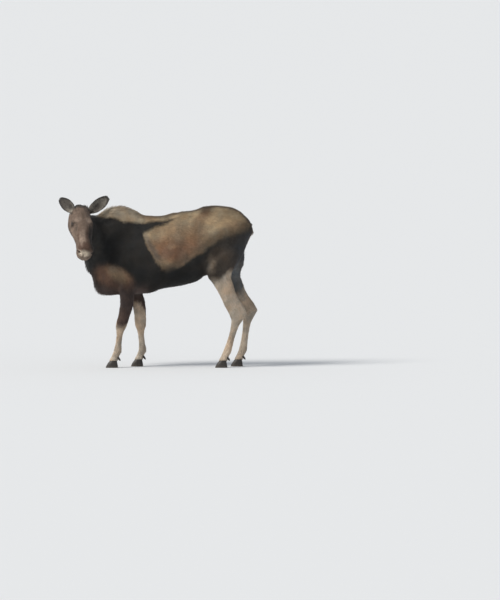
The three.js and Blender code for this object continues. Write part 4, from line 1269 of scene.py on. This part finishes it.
# %% [markdown]
# ## Eyes and lid rims
# The eye is a moist dark ball with a wide, level pupil. Its ball keeps the size and place of the
# solid one. Round the opening runs a narrow bare rim, nearly black, which is the edge that a
# viewer reads as the eye's shape.

# %% Eyes
PUPIL_LONG, PUPIL_HIGH = 8.5 * MM, 5 * MM        # half the pupil each way
IRIS, IRIS_BLUR = 12.5 * MM, 2.5 * MM


def plain_finish(name, colour, roughness, coat=0.0):
    """A smooth finish: its material, tree and shader, and the place on the object."""
    material, shader = new_finish(name, {"Base Color": (*colour, 1), "Roughness": roughness,
                                         "Coat Weight": coat, "Coat Roughness": 0.04})
    tree = Tree(material.node_tree)
    return material, tree, shader, tree.here()


def eye_finish(side):
    """Iris and pupil by the distance from the gaze."""
    middle, inner, up, _ = eye_axes(SIDES[side])
    material, tree, shader, here = plain_finish(
        "eye_" + side, (0.02, 0.012, 0.008), 0.12, 0.6)
    from_middle = tree.vector("SUBTRACT", here, tuple(from_head(middle)))
    a, b = (tree.vector("DOT_PRODUCT", from_middle, tuple(HEAD_AXES @ d)) for d in (inner, up))
    pupil = tree.join(tree.math("DIVIDE", a, PUPIL_LONG), tree.math("DIVIDE", b, PUPIL_HIGH), 0.0)
    rays = tree.noise(from_middle, 260.0, 2.0)
    iris = tree.mix(rays, (0.022, 0.010, 0.005), (0.060, 0.028, 0.012))
    ring = tree.step(tree.vector("LENGTH", tree.join(a, b, 0.0)), IRIS, IRIS + IRIS_BLUR)
    colour = tree.mix(ring, iris, (0.012, 0.008, 0.006))
    beside = tree.step(tree.vector("LENGTH", pupil), 0.9, 1.1)
    tree.wire(tree.mix(beside, (0.003, 0.003, 0.004), colour), shader.inputs["Base Color"])
    return material


for side, way in SIDES.items():
    middle, *axes = eye_axes(way)
    turn = Matrix([HEAD_AXES @ d for d in axes]).transposed().to_4x4()
    ball = bmesh.new()
    bmesh.ops.create_uvsphere(ball, u_segments=48, v_segments=32, radius=EYE_BALL,
                              matrix=Matrix.Translation(from_head(middle)) @ turn)
    eyeball = modelled("eyeball_" + side, ball)
    eyeball.data.materials.append(eye_finish(side))
    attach(eyeball, "root")
    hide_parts("eye_" + side)
    print(eyeball.name, len(eyeball.data.polygons), "faces")

# %% Rims of the lids
RIM, RIM_ON_BALL = 1.9 * MM, 0.6 * MM            # half a rim's thickness, and how it stands off
RIM_STEPS, RIM_SIDES, RIM_TUBE = 64, 8, 0.2
RIM_LONG = 0.97 * SLIT_LONG
LASHES, LASH_FOOT, LASH_TIP = 22, 0.45 * MM, 0.05 * MM
rim_finish, tree, shader, here = plain_finish("lid_rim", (0.018, 0.014, 0.012), 0.35)
tree.wire(tree.mix(tree.noise(here, 700.0, 2.0), (0.012, 0.009, 0.008), (0.030, 0.022, 0.018)),
          shader.inputs["Base Color"])
for side, way in SIDES.items():
    middle, inner, up, out = eye_axes(way)
    bm = bmesh.new()
    bmesh.ops.create_circle(bm, segments=RIM_SIDES, radius=RIM_TUBE,
                            matrix=Matrix.Translation((1, 0, 0))
                            @ Matrix.Rotation(math.pi / 2, 4, "X"))
    bmesh.ops.spin(bm, geom=bm.verts[:] + bm.edges[:], cent=(0, 0, 0), axis=(0, 0, 1),
                   angle=math.tau, steps=RIM_STEPS, use_merge=True)
    bmesh.ops.remove_doubles(bm, verts=bm.verts, dist=1e-4)
    for v in bm.verts:
        angle = math.atan2(v.co.y, v.co.x)
        off, lift = (math.hypot(v.co.x, v.co.y) - 1) / RIM_TUBE, v.co.z / RIM_TUBE
        a = RIM_LONG * math.cos(angle)
        b = SLIT_RISE + SLIT_HIGH * math.sin(angle) * abs(math.sin(angle)) ** 0.35
        flat = np.array((a, b)) * (1 + off * RIM / math.hypot(a, b))
        far = min(math.hypot(*flat), 0.99 * EYE_BALL)
        height = over_ball(EYE_BALL + RIM_ON_BALL, far) + lift * RIM
        v.co = from_head(middle + inner * flat[0] + up * flat[1] + out * height)
    for k in range(LASHES):                     # lashes along the upper lid, swept outwards
        angle = math.radians(20 + 140 * k / (LASHES - 1))
        a = RIM_LONG * math.cos(angle)
        b = 2 * SLIT_RISE + SLIT_HIGH * math.sin(angle) ** 1.35
        root = middle + inner * a + up * b + out * over_ball(EYE_BALL + 2 * MM, math.hypot(a, b))
        length = rng.uniform(10, 15) * MM
        for v in bmesh.ops.create_cone(bm, segments=3, radius1=LASH_FOOT, radius2=LASH_TIP,
                                       depth=1, cap_ends=True)["verts"]:
            t = v.co.z + 0.5
            bend = out * 0.9 + up * (0.15 - 0.55 * t) + inner * (0.5 * math.cos(angle) - 0.25)
            v.co = from_head(root + bend * (length * t) + inner * v.co.x + up * v.co.y)
    bmesh.ops.recalc_face_normals(bm, faces=bm.faces)
    rim = modelled("lid_rim_" + side, bm)
    rim.data.materials.append(rim_finish)
    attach(rim, "root")
    print(rim.name, len(rim.data.polygons), "faces")

# %% [markdown]
# ## Hooves
# Each foot stands on two long pointed claws with two small dewclaws behind them. They are horn:
# dark, a little shiny, with fine rings that run round the wall parallel to the hair line.

# %% Horn finish
horn_finish, tree, shader, here = plain_finish("hoof_horn", (0.02, 0.017, 0.015), 0.42)
high = tree.add("SeparateXYZ", here).outputs["Z"]
wobble = tree.times(tree.noise(here, 18.0, 3.0), 14.0)
rings = tree.math("SINE", tree.math("MULTIPLY_ADD", high, 700.0, wobble))
grain = tree.noise(here, 240.0, 3.0)
colour = tree.mix(grain, (0.018, 0.015, 0.013), (0.046, 0.038, 0.031))
colour = tree.mix(tree.step(high, 0.030, 0.0, 0.0, 0.6), colour, (0.085, 0.072, 0.058))
tree.wire(colour, shader.inputs["Base Color"])        # horn is worn paler at the ground
tree.bump(shader, tree.math("ADD", rings, grain), 0.3, 0.6 * MM)
print("horn:", len(horn_finish.node_tree.nodes), "nodes")

# %% Claws and dewclaws
CLAW_SIDES, CLAW_RINGS = 40, 9
TOE_SLOPE, HEEL_SLOPE = 0.36, 0.10      # how far toe and heel lean, as shares of its length
TOE_POINT, TWIN_SIDE = 0.34, 0.70       # narrower at the toe, and flat where the twin stands
SOLE_WALL, SOLE_HOLLOW, SOLE_EDGE = 5 * MM, 3 * MM, 2 * MM


def claw(name):
    """A pointed claw in the box of its solid, flatter on the side that faces its twin."""
    low, high = (np.array(corner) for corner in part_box(name))
    twin = name.replace("inner", "*").replace("outer", "inner").replace("*", "outer")
    flat = np.sign(sum(corner[1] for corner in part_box(twin)) - low[1] - high[1])
    size, middle = high - low, (low + high) / 2
    bm = bmesh.new()
    bmesh.ops.create_cone(bm, segments=CLAW_SIDES, radius1=1, radius2=1, depth=1, cap_ends=True)
    walls = [e for e in bm.edges if abs(e.verts[0].co.z - e.verts[1].co.z) > 0.5]
    bmesh.ops.subdivide_edges(bm, edges=walls, cuts=CLAW_RINGS)
    for v in bm.verts:
        t, toe, side = v.co.z + 0.5, -v.co.x, v.co.y          # 0 at the sole, 1 at the hair
        bulge = 0.05 * math.sin(math.pi * t)
        front = low[0] + size[0] * (TOE_SLOPE * t - bulge)
        back = high[0] - size[0] * HEEL_SLOPE * t ** 1.5
        point = 1 - TOE_POINT * max(toe, 0) ** 2
        if side * flat > 0:
            side *= TWIN_SIDE
        half = 0.5 * size[1] * (1 - 0.08 * t + bulge)
        v.co = ((front + back) / 2 - toe * (back - front) / 2, middle[1] + side * point * half,
                low[2] + size[2] * t)
    sole = [f for f in bm.faces if f.normal.z < -0.9 and len(f.verts) > 4]
    bmesh.ops.inset_region(bm, faces=sole, thickness=SOLE_WALL, depth=-SOLE_HOLLOW)
    ground = [e for e in bm.edges if all(v.co.z < low[2] + 0.1 * MM for v in e.verts)]
    bmesh.ops.bevel(bm, geom=ground, offset=SOLE_EDGE, affect="EDGES", segments=2, profile=0.5,
                    material=-1)
    for face in bm.faces:
        face.smooth = abs(face.normal.z) < 0.95
    return modelled(name + "_horn", bm, smooth=False)


def dewclaw(name):
    """The solid's own shape, rounded off."""
    bm = merged_copy(name, 0)
    bmesh.ops.subdivide_edges(bm, edges=bm.edges[:], cuts=1, use_grid_fill=True)
    piece = modelled(name + "_horn", bm)
    relax(piece.data, (np.ones(len(piece.data.vertices)), 3, 0.4))
    return piece


for name in sorted(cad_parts):
    if "hoof" in name or "dewclaw" in name:
        horn = claw(name) if "hoof" in name else dewclaw(name)
        horn.data.materials.append(horn_finish)
        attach(horn, "root")
        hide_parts(name)
        print(horn.name, len(horn.data.polygons), "faces")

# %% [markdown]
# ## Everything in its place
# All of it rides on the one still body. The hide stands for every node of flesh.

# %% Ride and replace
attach(hide, "root")
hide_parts(*FLESH, "ear_left", "ear_right")
for piece in coat:
    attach(piece, "root")
